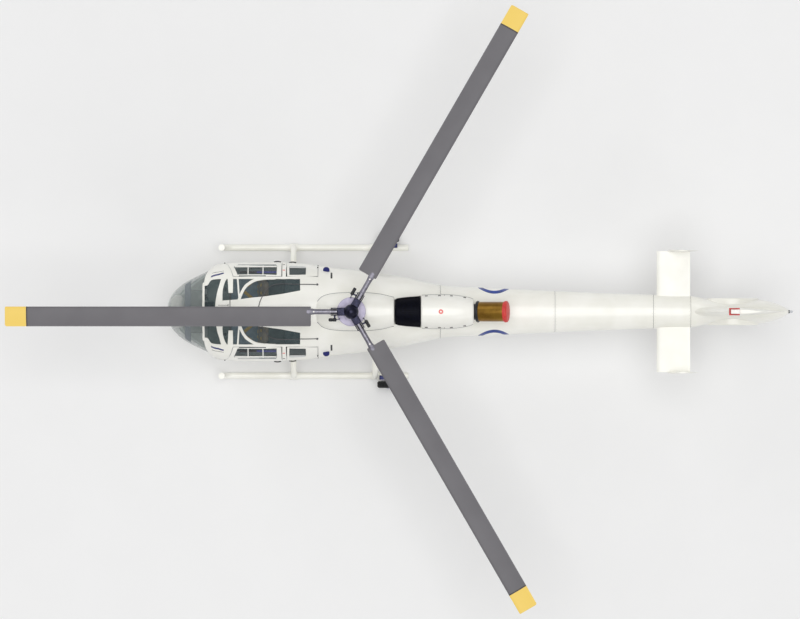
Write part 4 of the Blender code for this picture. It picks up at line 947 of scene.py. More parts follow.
def make_fairing():
    fairing = arch_body("mast_fairing_shell", FAIRING_SECTIONS, edge=0.03)
    hollow = arch_body("hollow", FAIRING_SECTIONS, -FAIRING_WALL, low=-0.1)
    combine(fairing, hollow, "DIFFERENCE")
    hole = turned("mast hole", [(0, 2.1), (MAST_HOLE, 2.1), (MAST_HOLE, 2.5), (0, 2.5)], sides=72)
    combine(fairing, hole, "DIFFERENCE")
    combine(fairing, hull_body("deck", -1.0, 1.2, FAIRING_SINK), "DIFFERENCE")
    dress(smooth(fairing), "airframe", get_finish("paint"), ["mast_fairing"])
    top = float(arch_lines(FAIRING_SECTIONS)[1](0.0))
    lip = turned("mast_hole_lip", eased([
        (MAST_HOLE - 0.004, top - 0.02), (MAST_HOLE - 0.004, top + 0.006),
        (MAST_HOLE + 0.012, top + 0.006), (MAST_HOLE + 0.016, top - 0.012),
    ], 0.004), sides=96)
    dress(smooth(lip), "airframe", get_finish("rubber"))


def make_intake():
    lines = arch_lines(INTAKE_SECTIONS)
    # The dark core stands for the black screen and the shaded duct behind it: partly painted shade
    core = arch_body("intake_core", INTAKE_SECTIONS, grow=-0.008, edge=0.02)
    combine(core, hull_body("deck", 0.4, 1.4, FAIRING_SINK), "DIFFERENCE")
    dress(smooth(core), "airframe", get_finish("mesh"), ["intake_grille"])
    paths = []
    for i in range(3, 42):
        angle = pi * i / 44
        path = [arch_point(lines, x, angle, -0.004) for x in spaced(0.672, 1.046, 12)]
        if path[0].z > float(over_plan(0.672, min(abs(path[0].y), 0.5)).z) - 0.01:
            paths.append(path)
    bars = wires("intake_bars", paths, 0.006, get_finish("mesh"))
    dress(bars, "airframe", None)
    hoops = []
    for x in (0.665, 1.050):
        hoop = [arch_point(lines, x, pi * i / 60, -0.003) for i in range(1, 60)]
        hoops.append([p for p in hoop if p.z > float(over_plan(x, min(abs(p.y), 0.5)).z) - 0.01])
    frame_wires = wires("intake_hoops", hoops, 0.007, get_finish("mesh"))
    dress(frame_wires, "airframe", None)


def make_cowling():
    cowling = arch_body("engine_cowling_shell", COWLING_SECTIONS, edge=0.025)
    hollow = arch_body("hollow", COWLING_SECTIONS[:-1], -FAIRING_WALL, low=-0.1)
    combine(cowling, hollow, "DIFFERENCE")
    hole = turned("pipe hole", [(0, 1.7), (0.135, 1.7), (0.135, 2.0), (0, 2.0)], "X", 64, (0, 0, 2.018))
    combine(cowling, hole, "DIFFERENCE")
    combine(cowling, hull_body("deck", 0.9, 2.2, FAIRING_SINK), "DIFFERENCE")
    dress(smooth(cowling), "airframe", get_finish("paint"), ["engine_cowling"])


def make_exhaust():
    wall = 0.008
    pipe = turned("exhaust_jet_pipe", [
        (0, 0.03), (0.135, 0.03), (0.148, 0.036), (EXHAUST_RADIUS, 0.05), (EXHAUST_RADIUS, EXHAUST_LENGTH),
        (EXHAUST_RADIUS - wall, EXHAUST_LENGTH), (EXHAUST_RADIUS - wall, 0.06), (0, 0.06),
    ], sides=96, place=TO_EXHAUST)
    dress(smooth(pipe), "airframe", get_finish("heated"), ["exhaust_pipe"])
    clamp = turned("exhaust_clamp", [
        (0.12, 0.0), *eased([(0.12, 0.0), (0.150, 0.0), (0.163, 0.010), (0.163, 0.034), (0.152, 0.046),
                             (0.12, 0.046)], 0.005)[1:-1], (0.12, 0.046),
    ], sides=96, place=TO_EXHAUST)
    dress(smooth(clamp), "airframe", get_finish("handle"))
    inner = turned("exhaust_throat", [(0.12, 1.741), (0.12, 1.93), (0.112, 1.93), (0.112, 1.741)], "X",
                   64, (0, 0, 2.018))
    dress(smooth(inner), "airframe", get_finish("handle"))
    end = EXHAUST_LENGTH
    rim = EXHAUST_RADIUS + 0.001
    cover = turned("exhaust_cover_cap", [
        (0, end - 0.02), (rim, end - 0.02), (rim, end - 0.006),
        *eased([(rim, end - 0.006), (COVER_RADIUS, end - 0.006), (COVER_RADIUS, end + 0.030),
                (COVER_RADIUS - 0.02, end + 0.046), (0.05, end + 0.052)], 0.010)[1:],
        (0, end + 0.056),
    ], sides=96, place=TO_EXHAUST)
    dress(smooth(cover), "airframe", get_finish("red"), ["exhaust_cover"])


# Tail

POD_SECTIONS = (
    (5.1706, 1.130, 1.600, 0.240), (5.26, 1.085, 1.640, 0.226), (5.36, 1.005, 1.690, 0.205),
    (5.50, 0.915, 1.745, 0.190), (5.65, 0.858, 1.780, 0.184), (5.81, 0.838, 1.795, 0.183),
    (6.00, 0.862, 1.800, 0.184), (6.20, 0.960, 1.800, 0.180), (6.36, 1.085, 1.790, 0.155),
    (6.50, 1.230, 1.760, 0.114), (6.60, 1.370, 1.700, 0.068), (6.65, 1.470, 1.630, 0.030),
    (6.664, 1.549, 1.551, 0.001),
)
FIN_SECTIONS = (
    (1.55, 5.19, 6.60, 0.110), (1.75, 5.285, 6.585, 0.078), (1.95, 5.36, 6.545, 0.061),
    (3.02, 5.69, 6.275, 0.042), (3.09, 5.715, 6.262, 0.040), (3.125, 5.745, 6.21, 0.030),
)
DUCT = Vector((5.81, 0, 1.315))
DUCT_RADIUS = 0.358
DUCT_LIP_RADIUS = 0.400
DUCT_HALF_WIDTH = 0.207
TAILPLANE_X = (4.652, 5.160)
TAILPLANE_Z = 1.43
TAILPLANE_HALF_SPAN = 0.912
TAILPLANE_HALF_THICKNESS = 0.030
ENDPLATE_Y = 0.929
ENDPLATE_SECTIONS = (
    (1.12, 4.925, 5.100, 0.008), (1.17, 4.865, 5.205, 0.014), (1.26, 4.825, 5.265, 0.018),
    (1.43, 4.815, 5.300, 0.020), (1.60, 4.850, 5.250, 0.018), (1.74, 4.925, 5.185, 0.013),
    (1.80, 4.985, 5.120, 0.008),
)
FAN_Y = 0.045
FAN_RADIUS = 0.3475
FAN_HUB_RADIUS = 0.105
FAN_BLADES = 13


def foil_ring(chord, half_thickness, blunt=0.04, count=20):
    """Points (distance behind the leading edge, offset) round a symmetrical wing section."""
    upper = []
    for i in range(1, count + 1):
        s = (1 - cos(pi * i / count)) / 2
        rise = 2.969 * sqrt(s) - 1.26 * s - 3.516 * s * s + 2.843 * s**3 - 1.015 * s**4
        upper.append((s * chord, max(rise, blunt * s) * half_thickness))
    return [(0.0, 0.0), *upper, *[(along, -offset) for along, offset in reversed(upper)]]


def section_lines(sections):
    """A smooth line through each column of a table of sections, against its first column."""
    return [smooth_line([(row[0], row[k]) for row in sections]) for k in range(1, len(sections[0]))]


def upright_foil(name, sections, y, count=40, low=None):
    """A fin built up from level wing sections."""
    front, back, half = section_lines(sections)
    start = sections[0][0] if low is None else low
    top = sections[-1][0]
    heights = [start + (top - start) * sin(pi / 2 * i / (count - 1)) for i in range(count)]
    bm = bmesh.new()
    rings = []
    for z in heights:
        ring = foil_ring(float(back(z) - front(z)), float(half(z)))
        rings.append([Vector((float(front(z)) + a, y + o, z)) for a, o in ring])
    loft(bm, rings)
    return make_piece(name, bm)


def make_fin():
    low, high, half = section_lines(POD_SECTIONS)
    stations = [5.1706 + (6.664 - 5.1706) * sin(pi / 2 * i / 59) for i in range(60)]
    rings = []
    for x in stations:
        middle, reach = float(high(x) + low(x)) / 2, float(high(x) - low(x)) / 2
        ring = []
        for i in range(64):
            y, z = superellipse(2 * pi * (i + 0.5) / 64, 2.2)
            ring.append(Vector((x, y * float(half(x)), middle + z * reach)))
        rings.append(ring)
    bm = bmesh.new()
    loft(bm, rings)
    pod = make_piece("tail_pod", bm)
    cut = DUCT_RADIUS + 0.012
    hole = turned("hole", [(0, -0.4), (cut, -0.4), (cut, 0.4), (0, 0.4)], "Y", 128, DUCT)
    combine(pod, hole, "DIFFERENCE")
    paint = get_finish("paint")
    dress(smooth(pod), "airframe", paint, ["tail_fin"])
    dress(smooth(upright_foil("upper_fin", FIN_SECTIONS, 0.0)), "airframe", paint)
    wide, lip = DUCT_HALF_WIDTH, DUCT_LIP_RADIUS
    mouth = eased([
        (DUCT_RADIUS, 0.0), (DUCT_RADIUS, -wide + 0.03), (DUCT_RADIUS + 0.014, -wide), (lip - 0.014, -wide),
        (lip, -wide + 0.012), (lip, 0.0), (lip, wide - 0.012), (lip - 0.014, wide),
        (DUCT_RADIUS + 0.014, wide), (DUCT_RADIUS, wide - 0.03), (DUCT_RADIUS, 0.001),
    ], 0.014)
    ring = turned("fan_duct_ring", mouth, "Y", 128, DUCT)
    dress(smooth(ring), "airframe", paint)


def make_tailplane():
    paint = get_finish("paint")
    front, back = TAILPLANE_X
    for name, side in SIDES:
        bm = bmesh.new()
        rings = []
        for y in spaced(0.16, TAILPLANE_HALF_SPAN + 0.01, 12):
            ring = foil_ring(back - front, TAILPLANE_HALF_THICKNESS, 0.10)
            rings.append([Vector((front + a, side * y, TAILPLANE_Z + o)) for a, o in ring])
        loft(bm, rings)
        plane = smooth(make_piece(f"tailplane_{name}_wing", bm))
        dress(plane, "airframe", paint, [f"tailplane_{name}"])
        plate = upright_foil(f"end_plate_{name}", ENDPLATE_SECTIONS, side * ENDPLATE_Y, 30)
        dress(smooth(plate), "airframe", paint)


def make_fan():
    steel, alloy = get_finish("steel"), get_finish("alloy")
    hub = turned("fan_hub", [
        (0, FAN_Y - 0.045),
        *eased([(0.02, FAN_Y - 0.045), (FAN_HUB_RADIUS, FAN_Y - 0.045), (FAN_HUB_RADIUS, FAN_Y + 0.035),
                (FAN_HUB_RADIUS - 0.02, FAN_Y + 0.055), (0.02, FAN_Y + 0.072)], 0.012, 6),
        (0, FAN_Y + 0.075),
    ], "Y", 64, DUCT)
    dress(smooth(hub), "tail_fan", alloy, ["tail_rotor"])
    bm = bmesh.new()
    rings = []
    for share in spaced(0.0, 1.0, 12):
        radius = FAN_HUB_RADIUS - 0.008 + (FAN_RADIUS - FAN_HUB_RADIUS + 0.008) * share
        chord = 0.040 + 0.018 * share
        pitch = radians(30 - 12 * share)
        ring = []
        for along, rise in foil_ring(chord, 0.0035, 0.1, 10):
            a = along - chord / 2
            ring.append(Vector((
                radius - FAN_HUB_RADIUS, a * cos(pitch) - rise * sin(pitch),
                a * sin(pitch) + rise * cos(pitch),
            )))
        rings.append(ring)
    loft(bm, rings)
    shape = make_piece("fan blade shape", bm, Matrix.Rotation(-pi / 2, 4, "Y"))
    path, ups = [], []
    count = FAN_BLADES * 8
    for i in range(count):
        turn = 2 * pi * i / count
        out = Vector((cos(turn), 0, sin(turn)))
        path.append(DUCT + out * FAN_HUB_RADIUS + Vector((0, FAN_Y, 0)))
        ups.append(out)
    spacing = 2 * count * FAN_HUB_RADIUS * sin(pi / count) / FAN_BLADES * 0.9999
    blades = copies("fan_blades", shape, [path], [ups], spacing, steel, closed=True)
    dress(blades, "tail_fan", None)


def make_tail_gearbox():
    low, high = -0.115, FAN_Y - 0.051
    body = turned("tail_gearbox_case", [
        (0, low - 0.03),
        *eased([(0.02, low - 0.03), (0.055, low - 0.024), (0.085, low), (0.085, high), (0.03, high)],
               0.010, 5),
        (0, high),
    ], "Y", 64, DUCT)
    engine = get_finish("engine")
    dress(smooth(body), "airframe", engine, ["tail_gearbox"])
    middle = (low + high) / 2 - 0.01
    for n, (turn, thickness) in enumerate(((pi, 0.034), (pi / 3, 0.017), (-pi / 3, 0.017))):
        out = Vector((cos(turn), 0, sin(turn)))
        centre = DUCT + Vector((0, middle, 0))
        path = [centre + out * r for r in spaced(0.06, DUCT_RADIUS - 0.002, 10)]
        arm = tube(f"fan_duct_arm_{n + 1}", path, thickness, 32)
        dress(smooth(arm), "airframe", get_finish("paint") if n == 0 else engine)


def make_tail_fittings():
    path = through([
        (5.50, 0, 0.93), (5.52, 0, 0.76), (5.60, 0, 0.69), (5.76, 0, 0.665), (6.02, 0, 0.665),
        (6.14, 0, 0.70), (6.20, 0, 0.78), (6.215, 0, 0.98),
    ], 60)
    guard = tube("tail_guard_tube", path, 0.014, 20)
    dress(smooth(guard), "airframe", get_finish("steel"), ["tail_bumper"])
    stay = tube("tail_guard_stay", [(5.86, 0, 0.668), (5.86, 0, 0.75), (5.86, 0, 0.85)], 0.011, 16)
    dress(smooth(stay), "airframe", get_finish("steel"))
    light = turned("tail_light_lens", [
        (0, 0.0), (0.020, 0.0), *eased([(0.020, 0.0), (0.020, 0.034), (0.016, 0.050), (0.004, 0.0625)],
                                       0.008)[1:], (0, 0.0635),
    ], "X", 32, (6.6665, 0, 1.55))
    dress(smooth(light), "airframe", get_finish("lens_clear"), ["tail_light"])
    mount = turned("tail_light_mount", eased([
        (0.010, -0.03), (0.026, -0.03), (0.026, 0.006), (0.010, 0.006)], 0.003), "X", 32, (6.6665, 0, 1.55))
    dress(smooth(mount), "airframe", get_finish("handle"))


BEACON_X = 5.793
BEACON_LOW = 3.122


def make_beacon():
    """A low red lens with a white core inside it, on a flat base over the fin's tip. The core stands for the lamp's
    reflector and is partly a painted highlight on the lens.
    """
    base = soft_block("beacon_base", (BEACON_X - 0.081, -0.055, BEACON_LOW), (BEACON_X + 0.081, 0.055, 3.137), 0.006)
    dress(smooth(base), "airframe", get_finish("red"), ["beacon"])
    bm = bmesh.new()
    rings = []
    for z, share in ((3.136, 1.0), (3.160, 0.98), (3.176, 0.90), (3.188, 0.74), (3.195, 0.45), (3.1968, 0.12)):
        ring = []
        for i in range(48):
            x, y = superellipse(2 * pi * i / 48, 3.2)
            ring.append(Vector((BEACON_X + x * 0.072 * share, y * 0.048 * share, z)))
        rings.append(ring)
    loft(bm, rings)
    dress(smooth(make_piece("beacon_lens", bm), 60), "airframe", get_finish("lens_red"))
    # The white core is partly a painted highlight on the red lens
    core = soft_block("beacon_core", (BEACON_X - 0.055, -0.034, 3.137), (BEACON_X + 0.085, 0.034, 3.1972), 0.014, 4)
    dress(smooth(core), "airframe", get_finish("white_and_painted_highlight"))


# Main rotor

ROTOR_RADIUS = 5.25
HUB_RADIUS = 0.113
BLADE_ROOT = 0.61
BLADE_CHORD = 0.300
BLADE_THICKNESS = 0.036
BLADE_DROOP = 0.10
BLADE_INCIDENCE = radians(2.5)
SWASHPLATE_DROP = 0.18
BLADE_ANGLES = (180, 60, -60)


def rotor_place(angle):
    return TO_FRAME @ Matrix.Translation((0, 0, MAST.z)) @ Matrix.Rotation(radians(angle), 4, "Z")


def blade_drop(radius):
    share = max(radius - BLADE_ROOT, 0.0) / (ROTOR_RADIUS - BLADE_ROOT)
    return -BLADE_DROOP * share * share


def make_blade(number, angle, paint):
    rings = []
    edge = 0.022
    stations = [(BLADE_ROOT + edge * (1 - cos(t)), 1 - 0.10 * (1 - sin(t))) for t in spaced(0, pi / 2, 5)]
    stations += [(r, 1.0) for r in spaced(BLADE_ROOT + edge, ROTOR_RADIUS - edge, 44)[1:-1]]
    stations += [(ROTOR_RADIUS - edge * (1 - cos(t)), 1 - 0.16 * (1 - sin(t))) for t in spaced(pi / 2, 0, 5)]
    for radius, share in stations:
        chord = BLADE_CHORD * share
        ring = []
        for along, rise in foil_ring(chord, BLADE_THICKNESS / 2 * share, 0.10, 24):
            y = along - chord * 0.26
            ring.append(Vector((
                radius, y * cos(BLADE_INCIDENCE) + rise * sin(BLADE_INCIDENCE),
                blade_drop(radius) + rise * cos(BLADE_INCIDENCE) - y * sin(BLADE_INCIDENCE),
            )))
        rings.append(ring)
    bm = bmesh.new()
    loft(bm, rings)
    blade = smooth(make_piece(f"blade_{number}_skin", bm, rotor_place(angle)))
    dress(blade, "main_rotor", paint, [f"blade_{number}"])
    rings = []
    for radius, wide, tall in (
        (0.214, 0.036, 0.036), (0.218, 0.040, 0.040), (0.300, 0.040, 0.040), (0.304, 0.043, 0.043),
        (0.330, 0.043, 0.043), (0.334, 0.040, 0.040), (0.53, 0.040, 0.040), (0.57, 0.043, 0.036),
        (0.60, 0.048, 0.030), (0.66, 0.055, 0.020), (0.72, 0.060, 0.012), (0.76, 0.052, 0.006),
    ):
        rings.append([
            Vector((radius, wide * cos(2 * pi * i / 40), tall * sin(2 * pi * i / 40))) for i in range(40)
        ])
    bm = bmesh.new()
    loft(bm, rings)
    spindle = smooth(make_piece(f"blade_{number}_spindle", bm, rotor_place(angle)))
    dress(spindle, "main_rotor", get_finish("steel"))
    # The pin's white head is a painted highlight on the spindle
    bolt = turned(f"blade_{number}_pin", eased([
        (0.001, 0.034), (0.012, 0.034), (0.012, 0.049), (0.001, 0.049)], 0.003), "Z", 24,
        (0.567, 0, 0), rotor_place(angle))
    dress(smooth(bolt), "main_rotor", get_finish("white_and_painted_highlight"))


def make_hub():
    dome = turned("rotor_head_dome", [
        (0, -0.085), *eased([(0.02, -0.085), (0.095, -0.085), (0.098, -0.02), (HUB_RADIUS, 0.0)], 0.012),
        *[(HUB_RADIUS * cos(t), 0.007 + HUB_RADIUS * sin(t)) for t in spaced(0.08, pi / 2 - 0.06, 20)],
        (0, 0.007 + HUB_RADIUS),
    ], sides=96, place=rotor_place(0))
    gunmetal = get_finish("gunmetal")
    dress(smooth(dome, 50), "main_rotor", gunmetal, ["rotor_hub"])
    for n, angle in enumerate(BLADE_ANGLES):
        place = rotor_place(angle)
        parts = [
            soft_block("block", (0.04, -0.060, -0.043), (0.212, 0.060, 0.043), 0.008, place=place),
            soft_block("tine", (0.19, 0.0438, -0.043), (0.31, 0.060, 0.043), 0.006, place=place),
            soft_block("tine", (0.19, -0.060, -0.043), (0.31, -0.0438, 0.043), 0.006, place=place),
            soft_block("arm", (0.236, 0.050, -0.016), (0.262, 0.125, 0.004), 0.004, place=place),
        ]
        fork = smooth(joined(f"rotor_fork_{n + 1}", parts))
        dress(fork, "main_rotor", gunmetal)
        damper = turned(f"blade_damper_{n + 1}", eased([
            (0.001, 0.222), (0.018, 0.222), (0.026, 0.230), (0.026, 0.276), (0.023, 0.279),
            (0.023, 0.285), (0.026, 0.288), (0.026, 0.330), (0.016, 0.343), (0.001, 0.343),
        ], 0.003), "X", 32, (0, 0.124, 0), place)
        dress(smooth(damper), "main_rotor", get_finish("handle"))


def make_mast():
    alloy = get_finish("alloy")
    low = 2.378 - MAST.z
    plate = -SWASHPLATE_DROP
    shaft = turned("rotor_shaft", [
        (0, low), (0.045, low), (0.045, plate - 0.01), (0.050, plate + 0.04), (0.050, -0.0856), (0, -0.0856),
    ], sides=64, place=rotor_place(0))
    dress(smooth(shaft), "main_rotor", get_finish("steel"), ["rotor_mast"])
    disc = turned("swashplate", eased([
        (0.045, plate - 0.018), (0.13, plate - 0.016), (0.210, plate - 0.014), (0.220, plate - 0.006),
        (0.220, plate + 0.008), (0.212, plate + 0.012), (0.140, plate + 0.012), (0.135, plate + 0.016),
        (0.085, plate + 0.016), (0.060, plate + 0.05), (0.045, plate + 0.05),
    ], 0.004), sides=128, place=rotor_place(0))
    dress(smooth(disc), "main_rotor", alloy)
    for n, angle in enumerate(BLADE_ANGLES):
        place = rotor_place(angle)
        link = tube("rod", [(0.176, 0.112, plate), (0.209, 0.118, plate / 2), (0.242, 0.124, -0.022)], 0.009, 20, place)
        eye = turned("eye", eased([(0.001, -0.014), (0.014, -0.014), (0.014, 0.014), (0.001, 0.014)], 0.004),
                     "Y", 24, (0.176, 0.112, plate), place)
        nut = turned("nut", eased([(0.001, -0.10), (0.012, -0.10), (0.012, -0.07), (0.001, -0.07)], 0.003),
                     "Z", 6, (0.209, 0.118, 0), place)
        rods = smooth(joined(f"pitch_link_{n + 1}", [link, eye, nut]))
        dress(rods, "main_rotor", get_finish("steel"))


def make_rotor():
    paint = blade_finish()
    for number, angle in enumerate(BLADE_ANGLES, 1):
        make_blade(number, angle, paint)
    make_hub()
    make_mast()


# Landing gear

SKID_Y = 0.983
SKID_RADIUS = 0.048
SKID_TIP_X = -1.994
SKID_END_X = 0.868
SKID_BEND = 0.19
CROSS_TUBES = (("front", -0.889), ("rear", 0.359))
CROSS_TUBE_RADIUS = 0.044
CROSS_TUBE_BEND = 0.22
WHEEL = Vector((0.56, 0, 0.215))
WHEEL_RADIUS = 0.172
TYRE_Y = (1.064, 1.170)
RIM_RADIUS = 0.098


def make_skids():
    paint = get_finish("paint")
    for name, side in SIDES:
        y = side * SKID_Y
        bend = [
            (SKID_TIP_X + SKID_BEND - SKID_BEND * sin(t), y, SKID_RADIUS + SKID_BEND - SKID_BEND * cos(t))
            for t in spaced(0, pi / 2, 14)
        ]
        path = [(x, y, SKID_RADIUS) for x in spaced(SKID_END_X, SKID_TIP_X + SKID_BEND + 0.02, 16)]
        path += bend + [(SKID_TIP_X, y, SKID_RADIUS + SKID_BEND + 0.05 * k) for k in (1, 2)]
        skid = tube(f"skid_{name}_tube", path, SKID_RADIUS, 40)
        dress(smooth(skid), "airframe", paint, [f"skid_{name}"])


def make_cross_tubes():
    paint = get_finish("paint")
    for name, x in CROSS_TUBES:
        belly = float(hull_belly(x)) - 0.001 - CROSS_TUBE_RADIUS
        bend = CROSS_TUBE_BEND
        arc = [
            (SKID_Y - bend + bend * cos(t), belly - bend + bend * sin(t)) for t in spaced(0, pi / 2, 14)
        ]
        half = [(SKID_Y, SKID_RADIUS + 0.03), (SKID_Y, belly - bend - 0.02), *arc]
        half += [(SKID_Y - bend - 0.05, belly), (0.3, belly), (0.0, belly)]
        path = [(x, y, z) for y, z in half] + [(x, -y, z) for y, z in reversed(half[:-1])]
        bar = tube(f"cross_tube_{name}_bar", path, CROSS_TUBE_RADIUS, 36)
        dress(smooth(bar), "airframe", paint, [f"cross_tube_{name}"])
        for end, side in SIDES:
            bm = bmesh.new()
            rings = []
            for reach in (-0.065, -0.062, 0.062, 0.065):
                grow = 0.012 if abs(reach) < 0.064 else 0.009
                ring = [(SKID_RADIUS + grow, radians(a)) for a in range(4, 180, 8)]
                ring += [(SKID_RADIUS + 0.0006, radians(a)) for a in range(172, 0, -8)]
                rings.append([
                    Vector((x + reach, side * SKID_Y + r * cos(t), SKID_RADIUS + r * sin(t)))
                    for r, t in ring
                ])
            loft(bm, rings)
            saddle = smooth(make_piece(f"saddle_{name}_{end}", bm))
            dress(saddle, "airframe", paint)


def wheel_turned(name, profile, side, sides=96):
    """A profile of (radius, distance out from the centre line) turned round the wheel's axle."""
    return turned(name, [(r, side * y) for r, y in profile], "Y", sides, WHEEL)


def make_wheels():
    low, high = TYRE_Y
    for name, side in SIDES:
        body = f"wheel_{name}"
        shoulder = WHEEL_RADIUS - 0.020
        tyre = wheel_turned(f"tyre_{name}_carcass", eased([
            (RIM_RADIUS, low + 0.020), (RIM_RADIUS, low + 0.012), (RIM_RADIUS + 0.028, low),
            (shoulder, low + 0.004), (WHEEL_RADIUS - 0.002, low + 0.026), (WHEEL_RADIUS - 0.002, low + 0.040),
            (WHEEL_RADIUS - 0.008, low + 0.043), (WHEEL_RADIUS - 0.008, low + 0.047),
            (WHEEL_RADIUS, low + 0.050), (WHEEL_RADIUS, high - 0.050),
            (WHEEL_RADIUS - 0.008, high - 0.047), (WHEEL_RADIUS - 0.008, high - 0.043),
            (WHEEL_RADIUS - 0.002, high - 0.040), (WHEEL_RADIUS - 0.002, high - 0.026),
            (shoulder, high - 0.004), (RIM_RADIUS + 0.028, high), (RIM_RADIUS, high - 0.012),
            (RIM_RADIUS, high - 0.020),
        ], 0.006), side)
        dress(smooth(tyre, 50), body, get_finish("tyre"), [f"tyre_{name}"])
        rim = wheel_turned(f"wheel_rim_{name}_disc", eased([
            (0.0155, low - 0.006), (0.036, low - 0.006), (0.036, low + 0.030), (0.080, low + 0.036),
            (0.088, low + 0.014), (RIM_RADIUS + 0.006, low + 0.008), (RIM_RADIUS - 0.001, low + 0.02),
            (RIM_RADIUS - 0.001, high - 0.02), (RIM_RADIUS + 0.006, high - 0.008), (0.088, high - 0.014),
            (0.080, high - 0.036), (0.036, high - 0.030), (0.036, high + 0.006), (0.0155, high + 0.006),
        ], 0.004), side)
        dress(smooth(rim), body, get_finish("rim"), [f"wheel_rim_{name}"])


def make_brackets():
    clamp, steel = get_finish("clamp"), get_finish("alloy")
    for name, side in SIDES:
        ys = sorted((side * (SKID_Y - 0.005), side * 1.046))
        block = soft_block(
            f"wheel_clamp_{name}", (0.425, ys[0], 2 * SKID_RADIUS - 0.012), (0.70, ys[1], 0.130), 0.008)
        dress(smooth(block), "airframe", clamp, [f"wheel_bracket_{name}"])
        outline = eased([
            (0.56, 0.035), (0.44, 0.035), (0.44, 0.15), (0.51, 0.255), (0.61, 0.255), (0.68, 0.15),
            (0.68, 0.035), (0.561, 0.035),
        ], 0.035, 6)
        bm = bmesh.new()
        loft(bm, [[Vector((x, side * y, z)) for x, z in outline] for y in (1.036, 1.050)])
        plate = make_piece("plate", bm)
        axle = tube("axle", [(WHEEL.x, side * y, WHEEL.z) for y in (1.040, 1.10, 1.186)], 0.0135, 32)
        both = smooth(joined(f"wheel_plate_{name}", [plate, axle]))
        dress(both, "airframe", steel)


# Cabin

FLOOR_Z = 0.700
SEAT_Y = 0.345
SEAT_HALF_WIDTH = 0.215


def leather(name, low, high):
    """Finished leather: fine pebbled grain 4 mm across, rubbed smoother and darker in patches."""
    material = finish(name, low, high, (0.42, 0.62), patch_mm=90, grain_mm=4, relief_mm=0.4)
    tree = material.node_tree
    shader = tree.nodes["Principled BSDF"]
    spot = add_node(tree, "ShaderNodeTexCoord").outputs["Object"]
    pebbles = add_node(tree, "ShaderNodeTexVoronoi", {"Vector": spot, "Scale": 1000 / 4})
    bump = add_node(tree, "ShaderNodeBump", {
        "Strength": 0.35, "Distance": 0.0005, "Height": pebbles.outputs["Distance"],
    })
    tree.links.new(bump.outputs[0], shader.inputs["Normal"])
    return material


def weave(name, low, high):
    """Woven bench cloth. Its 3 mm threads are drawn 6 mm apart, so that they still show."""
    material = finish(name, low, high, (0.75, 0.9), patch_mm=70, grain_mm=5, relief_mm=0.4)
    tree = material.node_tree
    shader = tree.nodes["Principled BSDF"]
    spot = add_node(tree, "ShaderNodeTexCoord").outputs["Object"]
    threads = [
        add_node(tree, "ShaderNodeTexWave", {"Vector": spot, "Scale": 1000 / 6 / 20 * pi},
                 bands_direction=way).outputs["Fac"]
        for way in ("X", "Y")
    ]
    crossing = add_node(tree, "ShaderNodeMath", {0: threads[0], 1: threads[1]}, operation="MAXIMUM")
    bump = add_node(tree, "ShaderNodeBump", {
        "Strength": 0.5, "Distance": 0.0008, "Height": crossing.outputs[0],
    })
    tree.links.new(bump.outputs[0], shader.inputs["Normal"])
    return material


def pad(name, length, width, height, crown, pull=0.012, power=4.5):
    """A crowned cushion, lying along X and Y with its flat side down at z 0. Its sides pull in
    between the corners."""
    bm = bmesh.new()
    rings = []
    levels = (
        (0.0, 0.90), (0.0, 0.97), (0.08, 0.995), (0.30, 1.0), (0.55, 1.0), (0.75, 0.985), (0.90, 0.93),
        (0.97, 0.84), (1.0, 0.70),
    )
    for rise, share in levels:
        ring = []
        for i in range(72):
            turn = 2 * pi * i / 72
            x, y = superellipse(turn, power)
            waist = 1 - pull * (1 - abs(sin(2 * turn))) * (4 * rise * (1 - rise)) / (width / 2)
            ring.append(Vector((x * length / 2 * share * waist, y * width / 2 * share * waist, rise * height)))
        rings.append(ring)
    for share in (0.5, 0.28, 0.1):
        lift = crown * (1 - (share / 0.7) ** 2)
        rings.append([
            Vector((p.x * share / 0.7, p.y * share / 0.7, height + lift)) for p in rings[len(levels) - 1]
        ])
    loft(bm, rings)
    mesh = bpy.data.meshes.new(name)
    bmesh.ops.recalc_face_normals(bm, faces=bm.faces[:])
    bm.to_mesh(mesh)
    bm.free()
    return link_mesh(name, mesh)


def puffed(piece, cap, voxel=0.0085):
    """Lets a pad swell as stuffed cloth does, with no point moving further than the cap."""
    modify(piece, "REMESH", mode="VOXEL", voxel_size=voxel)
    start = np.empty(len(piece.data.vertices) * 3)
    piece.data.vertices.foreach_get("co", start)
    cloth = piece.modifiers.new("stuffing", "CLOTH")
    cloth.settings.quality = 4
    cloth.settings.use_pressure = True
    cloth.settings.uniform_pressure_force = 4
    cloth.settings.effector_weights.gravity = 0
    cloth.settings.tension_stiffness = 12
    cloth.settings.compression_stiffness = 6
    cloth.point_cache.frame_end = 20
    for number in range(1, 21):
        bpy.context.scene.frame_set(number)
    mesh = piece.evaluated_get(bpy.context.evaluated_depsgraph_get()).data
    swollen = np.empty_like(start)
    mesh.vertices.foreach_get("co", swollen)
    piece.modifiers.clear()
    bpy.context.scene.frame_set(1)
    moves = (swollen - start).reshape(-1, 3)
    lengths = np.maximum(np.linalg.norm(moves, axis=1), 1e-9)
    held = moves * np.minimum(cap / lengths, 1)[:, None]
    piece.data.vertices.foreach_set("co", start + held.reshape(-1))
    return modify(piece, "SUBSURF", levels=1, render_levels=1)


def set_pad(piece, finish_, nodes=()):
    dress(smooth(piece, 80), "airframe", finish_, nodes)
    return piece


def stand(piece, place):
    piece.data.transform(TO_FRAME @ place)
    return piece


